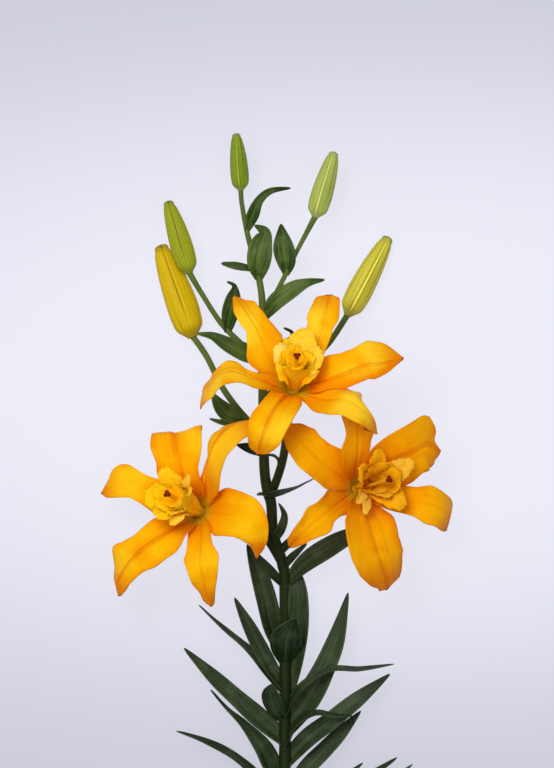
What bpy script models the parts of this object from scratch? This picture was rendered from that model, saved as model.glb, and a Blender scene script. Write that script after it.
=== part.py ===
"""An LA hybrid lily: one cut, leafy stem with three open double blooms and five buds.

It lies on its back on a flat surface, as a cut flower does. Metres, +Z up. The stem runs along +Y
from its cut end to the highest bud, the blooms look up, and the origin is on the surface under the
middle of the whole stem. The tables are in millimetres and MM turns them into metres.
"""

import math

import bmesh
import bpy
import numpy as np

MM = 0.001

TEPAL_THICKNESS = 0.8
PETALOID_THICKNESS = 0.7
LEAF_THICKNESS = 0.8
SEAT_GAP = 0.3

RECEPTACLE_RADIUS = 6.5
RECEPTACLE_HEIGHT = 3.0
COLLAR_RADIUS = 4.4
COLLAR_HOLE = 2.9
COLLAR_HEIGHT = 2.0
OVARY_RADIUS = 2.1
STYLE_RADIUS = 1.3
STIGMA_RADIUS = 3.1

# Roots on the receptacle: how far out from the axis, how high above the seat, and half width
TEPAL_ROOT = (5.0, 1.8, 3.2)
TEPAL_CLAW = (8.3, 8.5, 4.2)
PETALOID_ROOT = (3.7, RECEPTACLE_HEIGHT + SEAT_GAP + 0.9)
PETALOID_WIDTHS = ((0, 0.2), (0.25, 0.42), (0.5, 0.8), (0.78, 1.0), (1, 0.5))

# Squares across and along each kind of blade
TEPAL_GRID = (4, 8)
PETALOID_GRID = (2, 5)
LEAF_GRID = (2, 6)

# The main stem from its cut end to the highest bud: x, y, z, radius
STEM = (
    (5, -349.6, 4.94, 5.2), (5.6, -250, 9.4, 5.0), (6, -150, 13, 4.8), (6, -20, 19, 4.6),
    (4, 4, 20.3, 4.5), (-3.4, 29, 22, 4.3), (-4.9, 52, 23.5, 4.3), (-7.5, 62, 24, 4.6),
    (-10, 76, 24.6, 4.2), (-11, 100, 25.5, 4.0), (-12, 160, 27, 3.5), (-12, 209, 28, 2.9),
    (-15.4, 236, 28.7, 2.6), (-23.8, 268, 29.3, 2.2), (-28.5, 293, 29.8, 1.9),
    (-29.3, 303.5, 30, 1.9),
)

# Each stalk from the stem to where it straightens under its bloom or bud: x, y, z, radius
STALKS = {
    "bloom_top": (
        (-6, 58, 24, 3.6), (0, 74, 31, 3.5), (5, 92, 37, 3.4), (8, 116, 41, 3.3),
    ),
    "bloom_left": (
        (2, 8, 21, 3.8), (-12, 29, 22, 3.4), (-32, 41, 20, 3.2),
    ),
    "bloom_right": (
        (1, 14, 21, 3.8), (15, 27, 22, 3.4), (32, 44, 19, 3.2),
    ),
    "bud_upper_right": (
        (-12, 194, 28, 2.4), (-8.4, 206.6, 29, 2.2), (4.2, 232, 32.5, 2.0), (17, 258, 33, 1.8),
    ),
    "bud_lower_right": (
        (-11.5, 136, 26.5, 2.8), (4, 150, 27, 2.6), (24, 166, 23, 2.5), (40.6, 181, 17, 2.4),
    ),
    "bud_upper_left": (
        (-12, 163, 27, 2.6), (-26.6, 178.6, 27, 2.4), (-44.8, 197, 25, 2.2), (-60, 220, 23.5, 2.1),
    ),
    "bud_lower_left": (
        (-11, 106, 26, 3.0), (-29.2, 125.6, 25.5, 2.7), (-44.2, 146, 21, 2.5), (-57, 171, 16, 2.4),
    ),
}
STRAIGHT_ENDS = {"bloom": (14, 8), "bud": (5, 2.5)}
END_RADII = {"bloom": (3.3, 3.8, 5.2), "bud": (2.1, 2.2, 2.7)}
STEM_DETAIL = (26, 3)
STALK_DETAIL = (11, 2)

# Each bud: where its base and its blunt tip are, and its largest radius
BUDS = {
    "bud_top": ((-29.4, 303.9, 30), (-33.2, 349.8, 31), 7.2),
    "bud_upper_right": ((30.1, 282.2, 33), (45.5, 335, 32), 8.6),
    "bud_lower_right": ((56, 203.8, 11.2), (89.6, 267.5, 6.3), 10.0),
    "bud_upper_left": ((-70.7, 237.4, 22.5), (-88.2, 295.9, 20), 9.0),
    "bud_lower_left": ((-67.9, 186.3, 13.2), (-94.5, 260.8, 8.2), 12.5),
}
BUD_OUTLINE = (0.32, 0.86, 0.98, 1.01, 0.99, 0.95, 0.89, 0.81, 0.71, 0.57, 0.3)
BUD_RIDGE = 0.07

# Each bloom: the top of its stalk, the way it looks, and where its stigma is
BLOOMS = {
    "bloom_top": {
        "seat": (13, 143, 60),
        "axis": (0.03, 0.40, 0.916),
        "stigma": (15.4, 171, 123),
        "tepals": {
            "upper_left": (
                (-2, 163, 76, 13, 0), (-9.5, 179, 83, 13.5, 0), (-16.5, 194, 83, 12.5, 0),
                (-26, 208, 76, 9, 0), (-34, 219, 62, 2, 0),
            ),
            "top": (
                (23, 163, 75, 11, 0), (31, 179, 82, 13, 0), (36, 193, 82, 13.5, 0),
                (39, 208, 75, 13, 0), (42, 220, 60, 6, 0),
            ),
            "right": (
                (34, 153, 82, 13, 0), (52, 161, 92, 14, 0), (70, 169, 95, 15.5, 0),
                (86, 170, 90, 12, 0), (100, 169, 80, 2, 0),
            ),
            "lower_right": (
                (33, 137.5, 88, 11, 0), (51, 137, 106, 14.5, 0), (65, 130, 110, 14, 0),
                (75, 120, 101, 9.5, 0), (80, 109.5, 86, 2.5, 0),
            ),
            "bottom": (
                (6, 138, 88, 13, 0), (-1, 131, 108, 18, 0), (-7.5, 119, 118, 17, 0),
                (-12.5, 105, 115, 14, 0), (-15.5, 93, 101, 3.5, 0),
            ),
            "left": (
                (-4, 148, 84, 9, 5), (-20, 154, 101, 11.5, 15), (-37, 159, 105, 12, 18),
                (-50, 152.5, 98, 10, 12), (-58.5, 141, 87, 7.5, 5), (-61, 129, 76, 2, 0),
            ),
        },
        "petaloids": (
            (-1, 180, 99, 9), (9, 186, 96, 9), (23, 193, 96, 11), (35, 176, 101, 10.5),
            (29, 162, 104, 8.5), (15, 157.5, 109, 9.5), (2, 164, 105, 8.5),
        ),
    },
    "bloom_left": {
        "seat": (-61, 45.5, 35),
        "axis": (-0.37, 0.23, 0.90),
        "stigma": (-87.5, 61.8, 96),
        "tepals": {
            "left": (
                (-83, 56, 51, 12, 0), (-97, 62, 58, 13.5, 0), (-110, 67, 59, 12.5, 0),
                (-123, 70.5, 54, 13, 0), (-135, 66.5, 45, 8.5, 0), (-141.5, 61, 36, 2, 0),
            ),
            "upper_left": (
                (-71, 65, 54, 14, 0), (-77, 81, 65, 17.5, 8), (-80.5, 97, 68, 20, 18),
                (-82, 108, 60, 19.5, 28), (-82.5, 108, 46, 14, 32), (-82.5, 100, 38, 4, 32),
            ),
            "upper_right": (
                (-53, 66, 60, 11, 0), (-51, 82, 71, 12, -8), (-46.5, 96.5, 75, 14, -10),
                (-38.5, 107, 73, 13.5, -10), (-29, 114.5, 66, 10, -8), (-19, 119, 56, 2.5, -5),
            ),
            "right": (
                (-45, 46, 64, 17, 0), (-30, 44, 82, 18.5, 0), (-19, 37, 87, 15.5, 0),
                (-14, 24, 81, 9.5, 0), (-17, 10.5, 68, 2, 0),
            ),
            "bottom": (
                (-61, 30, 62, 10.5, 0), (-61.5, 17, 75, 12.5, 0), (-62, 6, 81, 14, 0),
                (-59.5, -5, 80, 12, 0), (-57, -16, 74, 8, 0), (-52.5, -28.5, 62, 2.5, 0),
            ),
            "lower_left": (
                (-78, 35.5, 56, 12.5, 0), (-94, 27, 68, 16, 0), (-107.5, 17, 71, 16.5, 0),
                (-119.5, 5, 67, 14.5, 0), (-126.5, -8, 57, 9, 0), (-126.5, -20.5, 45, 2.5, 0),
            ),
        },
        "petaloids": (
            (-106, 59, 79, 10), (-98, 44, 84, 9), (-91, 82, 78, 8.5), (-71, 77, 84, 6),
            (-83, 36, 87, 6.5), (-77, 65, 97, 9), (-79, 52, 97, 8),
        ),
    },
    "bloom_right": {
        "seat": (62, 64, 35),
        "axis": (0.38, 0.13, 0.916),
        "stigma": (88.5, 73.2, 96),
        "tepals": {
            "upper_left": (
                (49, 76.5, 60, 13, 0), (36, 88, 73, 15.5, 0), (24, 98.5, 77, 15.5, 0),
                (13, 108, 73, 12, 0), (3, 115, 62, 3, 0),
            ),
            "top": (
                (62, 82, 58, 10, 0), (64, 98, 68, 12, 0), (64, 113, 69, 12.5, 0),
                (61, 127, 61, 9.5, 0), (57, 139, 47, 2.5, 0),
            ),
            "upper_right": (
                (79, 79, 53, 13, 0), (94, 87.5, 63, 18, 0), (109, 94.5, 65, 21.5, 0),
                (121, 100, 58, 20.5, 0), (129, 95, 46, 10, 0), (128, 94, 34, 3.5, 0),
            ),
            "right": (
                (80, 61.5, 53, 10, 0), (95, 58.5, 63, 12, 0), (112, 55.5, 66, 13, 0),
                (127, 51, 62, 15, 0), (135.5, 43.5, 52, 11.5, 0), (135.5, 31.5, 40, 3, 0),
            ),
            "bottom": (
                (70.5, 44, 66, 17.5, 0), (76.5, 28, 79, 21, 0), (81.5, 12, 81, 22, 0),
                (85, -2, 75, 18.5, 0), (86.5, -13.5, 64, 9.5, 0),
            ),
            "lower_left": (
                (48, 53, 64, 11, 0), (38, 45, 80, 14, 0), (27, 36, 85, 12.5, 0),
                (17, 27, 80, 8, 0), (9.5, 19, 68, 2, 0),
            ),
        },
        "petaloids": (
            (65, 84, 83, 7), (109, 88, 76, 8), (101, 50, 83, 9.5), (88, 60, 95, 8),
            (69, 45, 83, 5.5), (81, 98, 79, 7), (79, 77, 95, 8),
        ),
    },
}

TEPAL_CUP = (0.5, 0.12, -0.16)
PETALOID_CUP = (0.5, 0.35, 0.05)
LEAF_CUP = (0.45, 0.22, 0.12)

# Leaves from the lowest in the picture up to the blooms: the way each upper face looks at the root
# and at the tip, then x, y, z and half width along its midrib
STEM_LEAVES = (
    ((0.4, 0.6, 0.7), (0.2, 0.9, 0.6), (
        (6, -194, 11, 3), (-14, -170, 15, 5.5), (-34, -151, 19, 5), (-58, -138, 22, 3.5),
        (-81, -130, 22, 0.9),
    )),
    ((0.5, 0.5, 0.8), (0.4, 0.6, 0.7), (
        (5, -178, 12, 6), (-5, -160, 16, 10), (-13.5, -143, 20, 9.5), (-27, -125, 23, 5),
        (-40, -112, 25, 2), (-53.5, -96.5, 25, 0.8),
    )),
    ((0.4, 0.5, 0.9), (0.3, 0.5, 0.9), (
        (5, -138, 13, 7), (-15, -121, 18, 9.5), (-34, -103, 22, 8), (-52, -86, 25, 6.5),
        (-75, -63, 25, 0.9),
    )),
    ((0.4, 0.6, 0.7), (0.1, 1, 0.3), (
        (5, -99, 15, 6), (-9.5, -82, 20, 6.5), (-25, -63, 26, 5.5), (-43, -47.5, 30, 3.5),
        (-63, -28.5, 30, 0.8),
    )),
    ((0.3, 0.5, 0.8), (0.3, 0.3, 1), (
        (5, -95, 15, 5), (-5.5, -80, 18, 6.5), (-15, -62, 21, 6.8), (-24, -44, 24, 5.5),
        (-34.5, -22.5, 24, 0.9),
    )),
    ((0.4, 0.2, 1), (0.3, 0.2, 1), (
        (5, -70, 16, 5), (-3.8, -48, 21, 8.5), (-9.8, -22, 26, 8.7), (-17, 2, 27, 6.5),
        (-24.5, 20, 25, 0.9),
    )),
    ((-0.3, 0.3, 1), (-0.2, 0.8, 0.6), (
        (7, -106, 13, 5), (12.5, -86, 15, 6), (15, -66, 19, 8.5), (17, -44, 22, 9.5), (17, -24, 25, 8.5),
        (16, -8, 24, 5.5), (15.5, 0, 23, 1.5),
    )),
    ((0, 1, -0.5), (0, 1, -0.2), (
        (6, -78, 17, 3.5), (6, -69, 27, 10), (7, -59, 38, 13), (9, -49, 47, 11.5), (14, -38, 53, 1.5),
    )),
    ((0, 1, -0.4), (0.2, 1, -0.1), (
        (5, -124, 14, 3.5), (-1, -116, 24, 7.5), (-4.5, -106, 35, 8.5), (-5.5, -98, 43, 6.5),
        (-4, -91, 49, 1.2),
    )),
    ((-0.3, 0.4, 0.9), (-0.3, 0.3, 1), (
        (7, -131, 14, 7), (25, -105, 19, 11.5), (37.5, -81, 22, 9.6), (47.5, -56, 24, 7.5),
        (56.7, -18.5, 24, 0.9),
    )),
    ((-0.2, 0.8, 0.6), (0, 1, 0.35), (
        (7, -117, 15, 6.5), (20, -95.5, 28, 7), (41, -80, 38, 4), (66, -80, 38, 4.5),
        (93, -75.7, 31, 0.9),
    )),
    ((-0.2, 0.6, 0.8), (-0.2, 0.6, 0.8), (
        (7, -156, 12, 7), (25, -137, 16, 9), (46, -120, 19, 8.5), (67, -103, 20, 7), (90, -84, 19, 0.9),
    )),
    ((-0.3, 0.8, 0.5), (0, 1, 0.5), (
        (7, -144, 13, 6), (16, -125, 24, 7), (30, -115.5, 31, 4.5), (45, -117, 32, 3),
        (60.5, -117.5, 29, 0.8),
    )),
    ((-0.4, 0.4, 0.9), (-0.4, 0.5, 0.8), (
        (6, -186, 10, 5), (23, -162, 11, 8), (38, -146, 12, 8), (52, -131, 12, 6.5),
        (67, -114, 12, 0.9),
    )),
    ((-0.3, 0.6, 0.8), (-0.2, 0.8, 0.6), (
        (6, -212, 10, 3), (24, -194, 15, 6), (44, -176, 18, 5.5), (68.5, -155.5, 18, 0.9),
    )),
    ((-0.3, 0.5, 0.8), (-0.2, 0.7, 0.7), (
        (6, -228, 9, 3), (30, -203, 12, 6.5), (60, -177, 14, 6), (96, -151.5, 12, 0.9),
    )),
    ((-0.3, 0.5, 0.8), (-0.1, 0.8, 0.6), (
        (6, -240, 8, 3), (36, -216, 9, 6.5), (72, -187, 9, 6), (108.5, -157, 8, 0.9),
    )),
    ((0.2, 0.3, 0.9), (0.3, 0.3, 0.9), (
        (4, -12, 20, 3), (-6, -1, 25, 4), (-15.5, 12, 27, 0.9),
    )),
    ((-0.4, 0.4, 0.9), (-0.3, 0.3, 1), (
        (7, -12, 20, 3.5), (22, 4, 28, 8), (38, 15.5, 33, 9), (56, 26, 34, 7), (76, 35, 31, 0.9),
    )),
    ((-0.2, 0.4, 0.9), (0, 0.5, 0.9), (
        (3, 0, 21, 3), (12, 10, 25, 3.5), (23.5, 21, 28, 0.9),
    )),
    ((-0.6, -0.3, 0.7), (-0.8, 0, 0.6), (
        (-2, 24, 23, 3), (4, 34, 30, 4.5), (6, 44, 33, 4), (1, 53.5, 35, 0.9),
    )),
    ((-0.2, 0.8, -0.6), (-0.3, 0.9, 0.2), (
        (-8, 57, 26, 5), (2, 60, 34, 7), (14, 65, 38, 6), (28.5, 73, 38, 0.9),
    )),
    ((0.2, 1, 0.2), (0.2, 1, 0.2), (
        (-7, 58, 26, 4), (-12, 60, 31, 4), (-16.5, 60, 34, 0.9),
    )),
    ((0, 1, 0.2), (1, 0, 0.4), (
        (-11, 91, 27, 2.5), (-5, 91.5, 33, 2.5), (0, 88, 35, 2), (0, 80.5, 34, 0.8),
    )),
    ((0.2, 0.4, 0.9), (0.2, 0.4, 0.9), (
        (-11, 92, 26, 2.5), (-22, 97, 30, 4.5), (-32.5, 100, 31, 0.9),
    )),
)

BRACTS = (
    ((0.2, 0, 1), (0, -0.3, 1), (
        (-24.6, 271, 30, 1.8), (-20, 284, 35, 5), (-14.5, 296, 37, 3.6), (-5, 303.5, 37, 2.6),
        (10.5, 305.7, 35, 0.8),
    )),
    ((0, 1, 0.5), (0, 0.8, 0.8), (
        (-15, 235.5, 29, 2.5), (-22, 240, 34, 4.5), (-33, 243, 36, 4.6), (-45, 245.5, 34, 1.2),
    )),
    ((0, 0, 1), (0, -0.3, 1), (
        (-15, 233, 29, 3), (-15, 245, 36, 9), (-13.5, 258, 38, 9.5), (-10.5, 270, 36, 5),
        (-18.5, 276, 33, 0.9),
    )),
    ((0, -0.2, 1), (0, 0, 1), (
        (7, 236, 32, 2), (7, 247, 37, 7.5), (4.5, 260, 39, 8), (2.8, 277, 36, 0.9),
    )),
    ((-0.2, 0.4, 0.9), (-0.1, 0.3, 0.9), (
        (-11, 201, 28, 3), (-1, 214, 35, 7.5), (13, 224.5, 39, 7), (25, 230, 40, 3.5),
        (37.8, 232, 37, 0.8),
    )),
    ((0.1, 0, 1), (0, 0, 1), (
        (-40, 190, 26, 2.5), (-38.5, 203, 29, 6.5), (-35.5, 216, 31, 6.5), (-34.5, 227, 30, 2),
        (-40.5, 230.7, 29, 0.8),
    )),
    ((0.2, 0.4, 0.9), (0.1, 0.3, 0.9), (
        (-12, 167, 27, 4), (-26, 173, 33, 8), (-40, 180, 36, 6.5), (-52, 187, 36, 3.5),
        (-64.5, 189, 34, 0.9),
    )),
    ((0, 0.3, 0.9), (0, 0.3, 0.9), (
        (-11, 176, 28, 2.5), (2, 180, 36, 3), (10.5, 184.5, 40, 2.6), (11.5, 190, 41, 1.5),
        (5, 193.7, 40, 0.8),
    )),
    ((0.3, 0.2, 0.9), (0.3, 0, 1), (
        (-26, 122, 26, 3), (-38, 124, 31, 7), (-46, 131, 33, 6), (-52.5, 142, 32, 1),
    )),
    ((0.3, 0.6, 0.7), (0.2, 0.8, 0.5), (
        (-28, 122, 26, 2), (-42, 117.5, 30, 4), (-54.5, 121, 31, 0.9),
    )),
)

# The leaves below the picture spiral round the stem by the golden angle
LOWER_LEAVES = 9
LOWER_LEAF_FIRST = -200
LOWER_LEAF_STEP = -5.6
LOWER_LEAF_LENGTH = 84
LOWER_LEAF_LEAN = math.radians(63)
GOLDEN_ANGLE = math.radians(137.5)
LOWER_LEAF_START = math.radians(200)
LOWER_LEAF_WIDTHS = ((0, 3), (0.3, 6), (0.65, 6), (1, 0.9))
LOWEST_LEAF = 2.5

COLOURS = {
    "tepals": (0.93, 0.43, 0.01),
    "petaloids": (0.9, 0.6, 0.06),
    "pistil": (0.45, 0.5, 0.08),
    "stigma": (0.13, 0.02, 0.01),
    "leafy_stem": (0.05, 0.13, 0.03),
    "bud_top": (0.22, 0.34, 0.04),
    "bud_upper_right": (0.42, 0.52, 0.12),
    "bud_lower_right": (0.5, 0.5, 0.06),
    "bud_upper_left": (0.28, 0.34, 0.04),
    "bud_lower_left": (0.55, 0.4, 0.02),
}


def unit(vector):
    return np.asarray(vector, float) / np.linalg.norm(vector)


def curve_value(knots, t):
    """The Catmull-Rom value at t, where knot number i is at t = i."""
    last = len(knots) - 1
    i = min(int(t), last - 1)
    f = t - i
    a, b, c, d = knots[max(i - 1, 0)], knots[i], knots[i + 1], knots[min(i + 2, last)]
    return 0.5 * (2 * b + (c - a) * f + (2 * a - 5 * b + 4 * c - d) * f**2 + (3 * b - a - 3 * c + d) * f**3)


def smooth_line(knots, samples=160):
    """Close samples of the smooth line through the knots, and how far along it each one is, from 0 to 1."""
    knots = np.asarray(knots, float)
    values = np.array([curve_value(knots, (len(knots) - 1) * k / samples) for k in range(samples + 1)])
    steps = np.linalg.norm(np.diff(values[:, :3], axis=0), axis=1)
    reach = np.concatenate([[0], np.cumsum(steps)])
    return values, reach / reach[-1]


def tangents_of(points):
    ways = np.gradient(points, axis=0)
    return ways / np.linalg.norm(ways, axis=1)[:, None]


def carried_sides(tangents, first_side, rolls):
    """Carries a side vector along a line without twist, then rolls it about the line by the given degrees."""
    sides = []
    side = np.asarray(first_side, float)
    for tangent, roll in zip(tangents, np.radians(rolls)):
        side = unit(side - tangent * side.dot(tangent))
        sides.append(side * math.cos(roll) + np.cross(tangent, side) * math.sin(roll))
    return np.array(sides)


def facing_sides(tangents, reach, root_face, tip_face):
    """The sides of a line whose face turns evenly from one hint to the other."""
    faces = np.outer(1 - reach, unit(root_face)) + np.outer(reach, unit(tip_face))
    sides = np.cross(faces, tangents)
    return sides / np.linalg.norm(sides, axis=1)[:, None]


def material(name, colour, roughness=0.5):
    made = bpy.data.materials.new(name)
    made.use_nodes = True
    shader = made.node_tree.nodes["Principled BSDF"]
    shader.inputs["Base Color"].default_value = (*colour, 1)
    shader.inputs["Roughness"].default_value = roughness
    shader.inputs["Metallic"].default_value = 0
    return made


def add_object(name, mesh, collection):
    obj = bpy.data.objects.new(name, mesh)
    collection.objects.link(obj)
    return obj


def mesh_from(bm, name):
    bmesh.ops.recalc_face_normals(bm, faces=bm.faces[:])
    if bm.calc_volume(signed=True) < 0:
        bmesh.ops.reverse_faces(bm, faces=bm.faces[:])
    mesh = bpy.data.meshes.new(name)
    bm.to_mesh(mesh)
    bm.free()
    return mesh


def blade(name, values, reach, sides, cups, thickness, grid):
    """A closed thin blade along a smooth line: column 3 of the values is its half width."""
    columns, rows = grid
    tangents = tangents_of(values[:, :3])
    faces = np.cross(tangents, sides)
    table = np.hstack([values[:, :4], sides, faces])
    bm = bmesh.new()
    bmesh.ops.create_grid(bm, x_segments=columns, y_segments=rows, size=1)
    bmesh.ops.triangulate(bm, faces=bm.faces[:])
    bmesh.ops.solidify(bm, geom=bm.faces[:], thickness=0.5)
    for vertex in bm.verts:
        across = vertex.co.x
        along = (vertex.co.y + 1) / 2
        layer = (vertex.co.z + 0.25) * 2
        row = np.array([np.interp(along, reach, column) for column in table.T])
        half_width = row[3]
        cup = np.interp(along, (0, 0.5, 1), cups)
        lift = cup * half_width * abs(across) ** 1.6 + layer * thickness
        vertex.co = (row[:3] + row[4:7] * across * half_width + row[7:10] * lift) * MM
    return mesh_from(bm, name)


def leaf(name, root_face, tip_face, knots):
    values, reach = smooth_line(knots)
    sides = facing_sides(tangents_of(values[:, :3]), reach, root_face, tip_face)
    return blade(name, values, reach, sides, LEAF_CUP, LEAF_THICKNESS, LEAF_GRID)


def radial(bloom, point):
    """The way from a bloom's axis to a point, and how far out and how high above the seat that point is."""
    axis = unit(bloom["axis"])
    offset = np.asarray(point, float) - bloom["seat"]
    height = offset.dot(axis)
    out = offset - axis * height
    return unit(out), np.linalg.norm(out), height


def on_bloom(bloom, out, distance, height):
    return np.asarray(bloom["seat"], float) + out * distance + unit(bloom["axis"]) * height


def tepal(name, bloom, knots):
    """A tepal rises from the receptacle as a narrow claw and then follows its own knots."""
    out, _, _ = radial(bloom, knots[0][:3])
    foot = tuple((*on_bloom(bloom, out, *place[:2]), place[2], 0) for place in (TEPAL_ROOT, TEPAL_CLAW))
    values, reach = smooth_line(foot + knots)
    first_side = np.cross(unit(bloom["axis"]), out)
    sides = carried_sides(tangents_of(values[:, :3]), first_side, values[:, 4])
    return blade(name, values, reach, sides, TEPAL_CUP, TEPAL_THICKNESS, TEPAL_GRID)


def petaloid(name, bloom, tip, half_width):
    """A petaloid climbs beside the pistil and leans out to its tip."""
    out, distance, height = radial(bloom, tip)
    near, low = PETALOID_ROOT
    knots = []
    for f, width in PETALOID_WIDTHS:
        point = on_bloom(bloom, out, near + (distance - near) * f**1.5, low + (height - low) * f**0.8)
        knots.append((*point, half_width * width, 0))
    values, reach = smooth_line(knots)
    first_side = np.cross(unit(bloom["axis"]), out)
    sides = carried_sides(tangents_of(values[:, :3]), first_side, values[:, 4])
    return blade(name, values, reach, sides, PETALOID_CUP, PETALOID_THICKNESS, PETALOID_GRID)


def tube(name, knots, collection, points, resolution):
    """A closed tube along a smooth line, as a mesh: column 3 of the knots is its radius.

    Its last stretch is the straight one between the last two knots, so its end is square to it.
    """
    values, reach = smooth_line(knots)
    steps = len(knots) - 1
    last_bend = np.interp((steps - 1) / steps, np.linspace(0, 1, len(reach)), reach)
    stops = (*np.linspace(0, last_bend, points - 1), 1)
    curve = bpy.data.curves.new(name, "CURVE")
    curve.dimensions = "3D"
    curve.bevel_depth = MM
    curve.bevel_resolution = resolution
    curve.use_fill_caps = True
    spline = curve.splines.new("POLY")
    spline.points.add(points - 1)
    for point, stop in zip(spline.points, stops):
        x, y, z, radius = (np.interp(stop, reach, column) for column in values.T)
        point.co = (x * MM, y * MM, z * MM, 1)
        point.radius = radius
    drawn = bpy.data.objects.new(name, curve)
    collection.objects.link(drawn)
    graph = bpy.context.evaluated_depsgraph_get()
    mesh = bpy.data.meshes.new_from_object(drawn.evaluated_get(graph))
    bpy.data.objects.remove(drawn)
    bm = bmesh.new()
    bm.from_mesh(mesh)
    bmesh.ops.remove_doubles(bm, verts=bm.verts[:], dist=1e-6)
    bm.to_mesh(mesh)
    bm.free()
    return mesh


def turned_to(bm, axis, place):
    """Turns a shape made along +Z to an axis and puts it at a place in millimetres."""
    axis = unit(axis)
    across = unit(np.cross((1, 0, 0) if abs(axis[0]) < 0.9 else (0, 1, 0), axis))
    third = np.cross(axis, across)
    for vertex in bm.verts:
        x, y, z = vertex.co
        vertex.co = (np.asarray(place, float) + across * x + third * y + axis * z) * MM


def disc(name, bloom, radius, low, high):
    """A round plate across a bloom's axis."""
    bm = bmesh.new()
    bmesh.ops.create_cone(bm, cap_ends=True, segments=16, radius1=radius, radius2=radius, depth=high - low)
    turned_to(bm, bloom["axis"], on_bloom(bloom, np.zeros(3), 0, (low + high) / 2))
    return mesh_from(bm, name)


def collar(name, bloom, radius, hole, low, high):
    """A round plate with a hole in it for the ovary."""
    bm = bmesh.new()
    bmesh.ops.create_cone(bm, segments=16, radius1=radius, radius2=radius, depth=high - low)
    bmesh.ops.solidify(bm, geom=bm.faces[:], thickness=radius - hole)
    turned_to(bm, bloom["axis"], on_bloom(bloom, np.zeros(3), 0, (low + high) / 2))
    return mesh_from(bm, name)


def keep_largest_body(mesh):
    """Leaves only the largest skin: the small hollows that joining seals are filled, and loose scraps go."""
    bm = bmesh.new()
    bm.from_mesh(mesh)
    waiting = set(bm.verts)
    bodies = []
    while waiting:
        body = {waiting.pop()}
        edge_of_body = list(body)
        while edge_of_body:
            vertex = edge_of_body.pop()
            for edge in vertex.link_edges:
                neighbour = edge.other_vert(vertex)
                if neighbour in waiting:
                    waiting.remove(neighbour)
                    body.add(neighbour)
                    edge_of_body.append(neighbour)
        bodies.append(body)
    bodies.sort(key=len)
    bmesh.ops.delete(bm, geom=[vertex for body in bodies[:-1] for vertex in body], context="VERTS")
    bm.to_mesh(mesh)
    bm.free()


def joined(name, meshes, collection):
    """One body out of meshes that run into each other."""
    parts = bpy.data.collections.new(name + "_parts")
    bpy.context.scene.collection.children.link(parts)
    first = add_object(name, meshes[0], collection)
    for number, mesh in enumerate(meshes[1:]):
        add_object(f"{name}_{number}", mesh, parts)
    union = first.modifiers.new("Union", "BOOLEAN")
    union.operation = "UNION"
    union.operand_type = "COLLECTION"
    union.collection = parts
    union.solver = "MANIFOLD"
    graph = bpy.context.evaluated_depsgraph_get()
    result = bpy.data.meshes.new_from_object(first.evaluated_get(graph))
    first.modifiers.clear()
    keep_largest_body(result)
    first.data = result
    for obj in list(parts.objects):
        bpy.data.objects.remove(obj)
    bpy.data.collections.remove(parts)
    return first


def finish(obj, colour_key, roughness=0.5, angle=50):
    obj.data.materials.clear()
    obj.data.materials.append(material(obj.name, COLOURS[colour_key], roughness))
    obj.data.shade_smooth()
    obj.data.set_sharp_from_angle(angle=math.radians(angle))
    return obj


def lower_leaf(number):
    """The face hints and knots of one leaf of the spiral, bent aside where the surface is in its way."""
    y = LOWER_LEAF_FIRST + LOWER_LEAF_STEP * number
    turn = LOWER_LEAF_START + GOLDEN_ANGLE * number
    way = np.array((math.cos(turn), 0, math.sin(turn) * 0.5))
    height = float(np.interp(y, [knot[1] for knot in STEM], [knot[2] for knot in STEM]))
    sideways = math.copysign(1.2 - abs(way[0]), way[0]) if way[2] < 0 else 0
    knots = []
    for f, half_width in LOWER_LEAF_WIDTHS:
        length = LOWER_LEAF_LENGTH * f
        out = way * length * math.sin(LOWER_LEAF_LEAN)
        x = 5.7 + out[0] + sideways * length * 0.5
        z = max(height + out[2], LOWEST_LEAF + 3 * (1 - f))
        knots.append((x, y + length * math.cos(LOWER_LEAF_LEAN), z, half_width))
    return (-way[0] * 0.3, 0.5, 0.8), (0, 0.6, 0.8), knots


def stalk_knots(name):
    """A stalk runs straight for its last stretch, up to its seat under the receptacle or the bud."""
    kind = name.split("_")[0]
    if kind == "bloom":
        seat, way = BLOOMS[name]["seat"], BLOOMS[name]["axis"]
    else:
        seat, tip, _ = BUDS[name]
        way = np.subtract(tip, seat)
    below = (*STRAIGHT_ENDS[kind], SEAT_GAP)
    end = [
        (*(np.asarray(seat, float) - unit(way) * distance), radius)
        for distance, radius in zip(below, END_RADII[kind])
    ]
    return STALKS[name] + tuple(end)


def leafy_stem(collection):
    meshes = [tube("stem", STEM, collection, *STEM_DETAIL)]
    meshes += [tube(name, stalk_knots(name), collection, *STALK_DETAIL) for name in STALKS]
    leaves = list(STEM_LEAVES + BRACTS) + [lower_leaf(number) for number in range(LOWER_LEAVES)]
    meshes += [leaf(f"leaf_{number}", *shape) for number, shape in enumerate(leaves)]
    return finish(joined("leafy_stem", meshes, collection), "leafy_stem", 0.4)


def bloom_tepals(name, bloom, collection):
    meshes = [disc(name, bloom, RECEPTACLE_RADIUS, 0, RECEPTACLE_HEIGHT)]
    meshes += [tepal(place, bloom, knots) for place, knots in bloom["tepals"].items()]
    return finish(joined(name + "_tepals", meshes, collection), "tepals")


def bloom_petaloids(name, bloom, collection):
    low = RECEPTACLE_HEIGHT + SEAT_GAP
    meshes = [collar(name, bloom, COLLAR_RADIUS, COLLAR_HOLE, low, low + COLLAR_HEIGHT)]
    meshes += [petaloid("petaloid", bloom, tip[:3], tip[3]) for tip in bloom["petaloids"]]
    return finish(joined(name + "_petaloids", meshes, collection), "petaloids")


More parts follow.
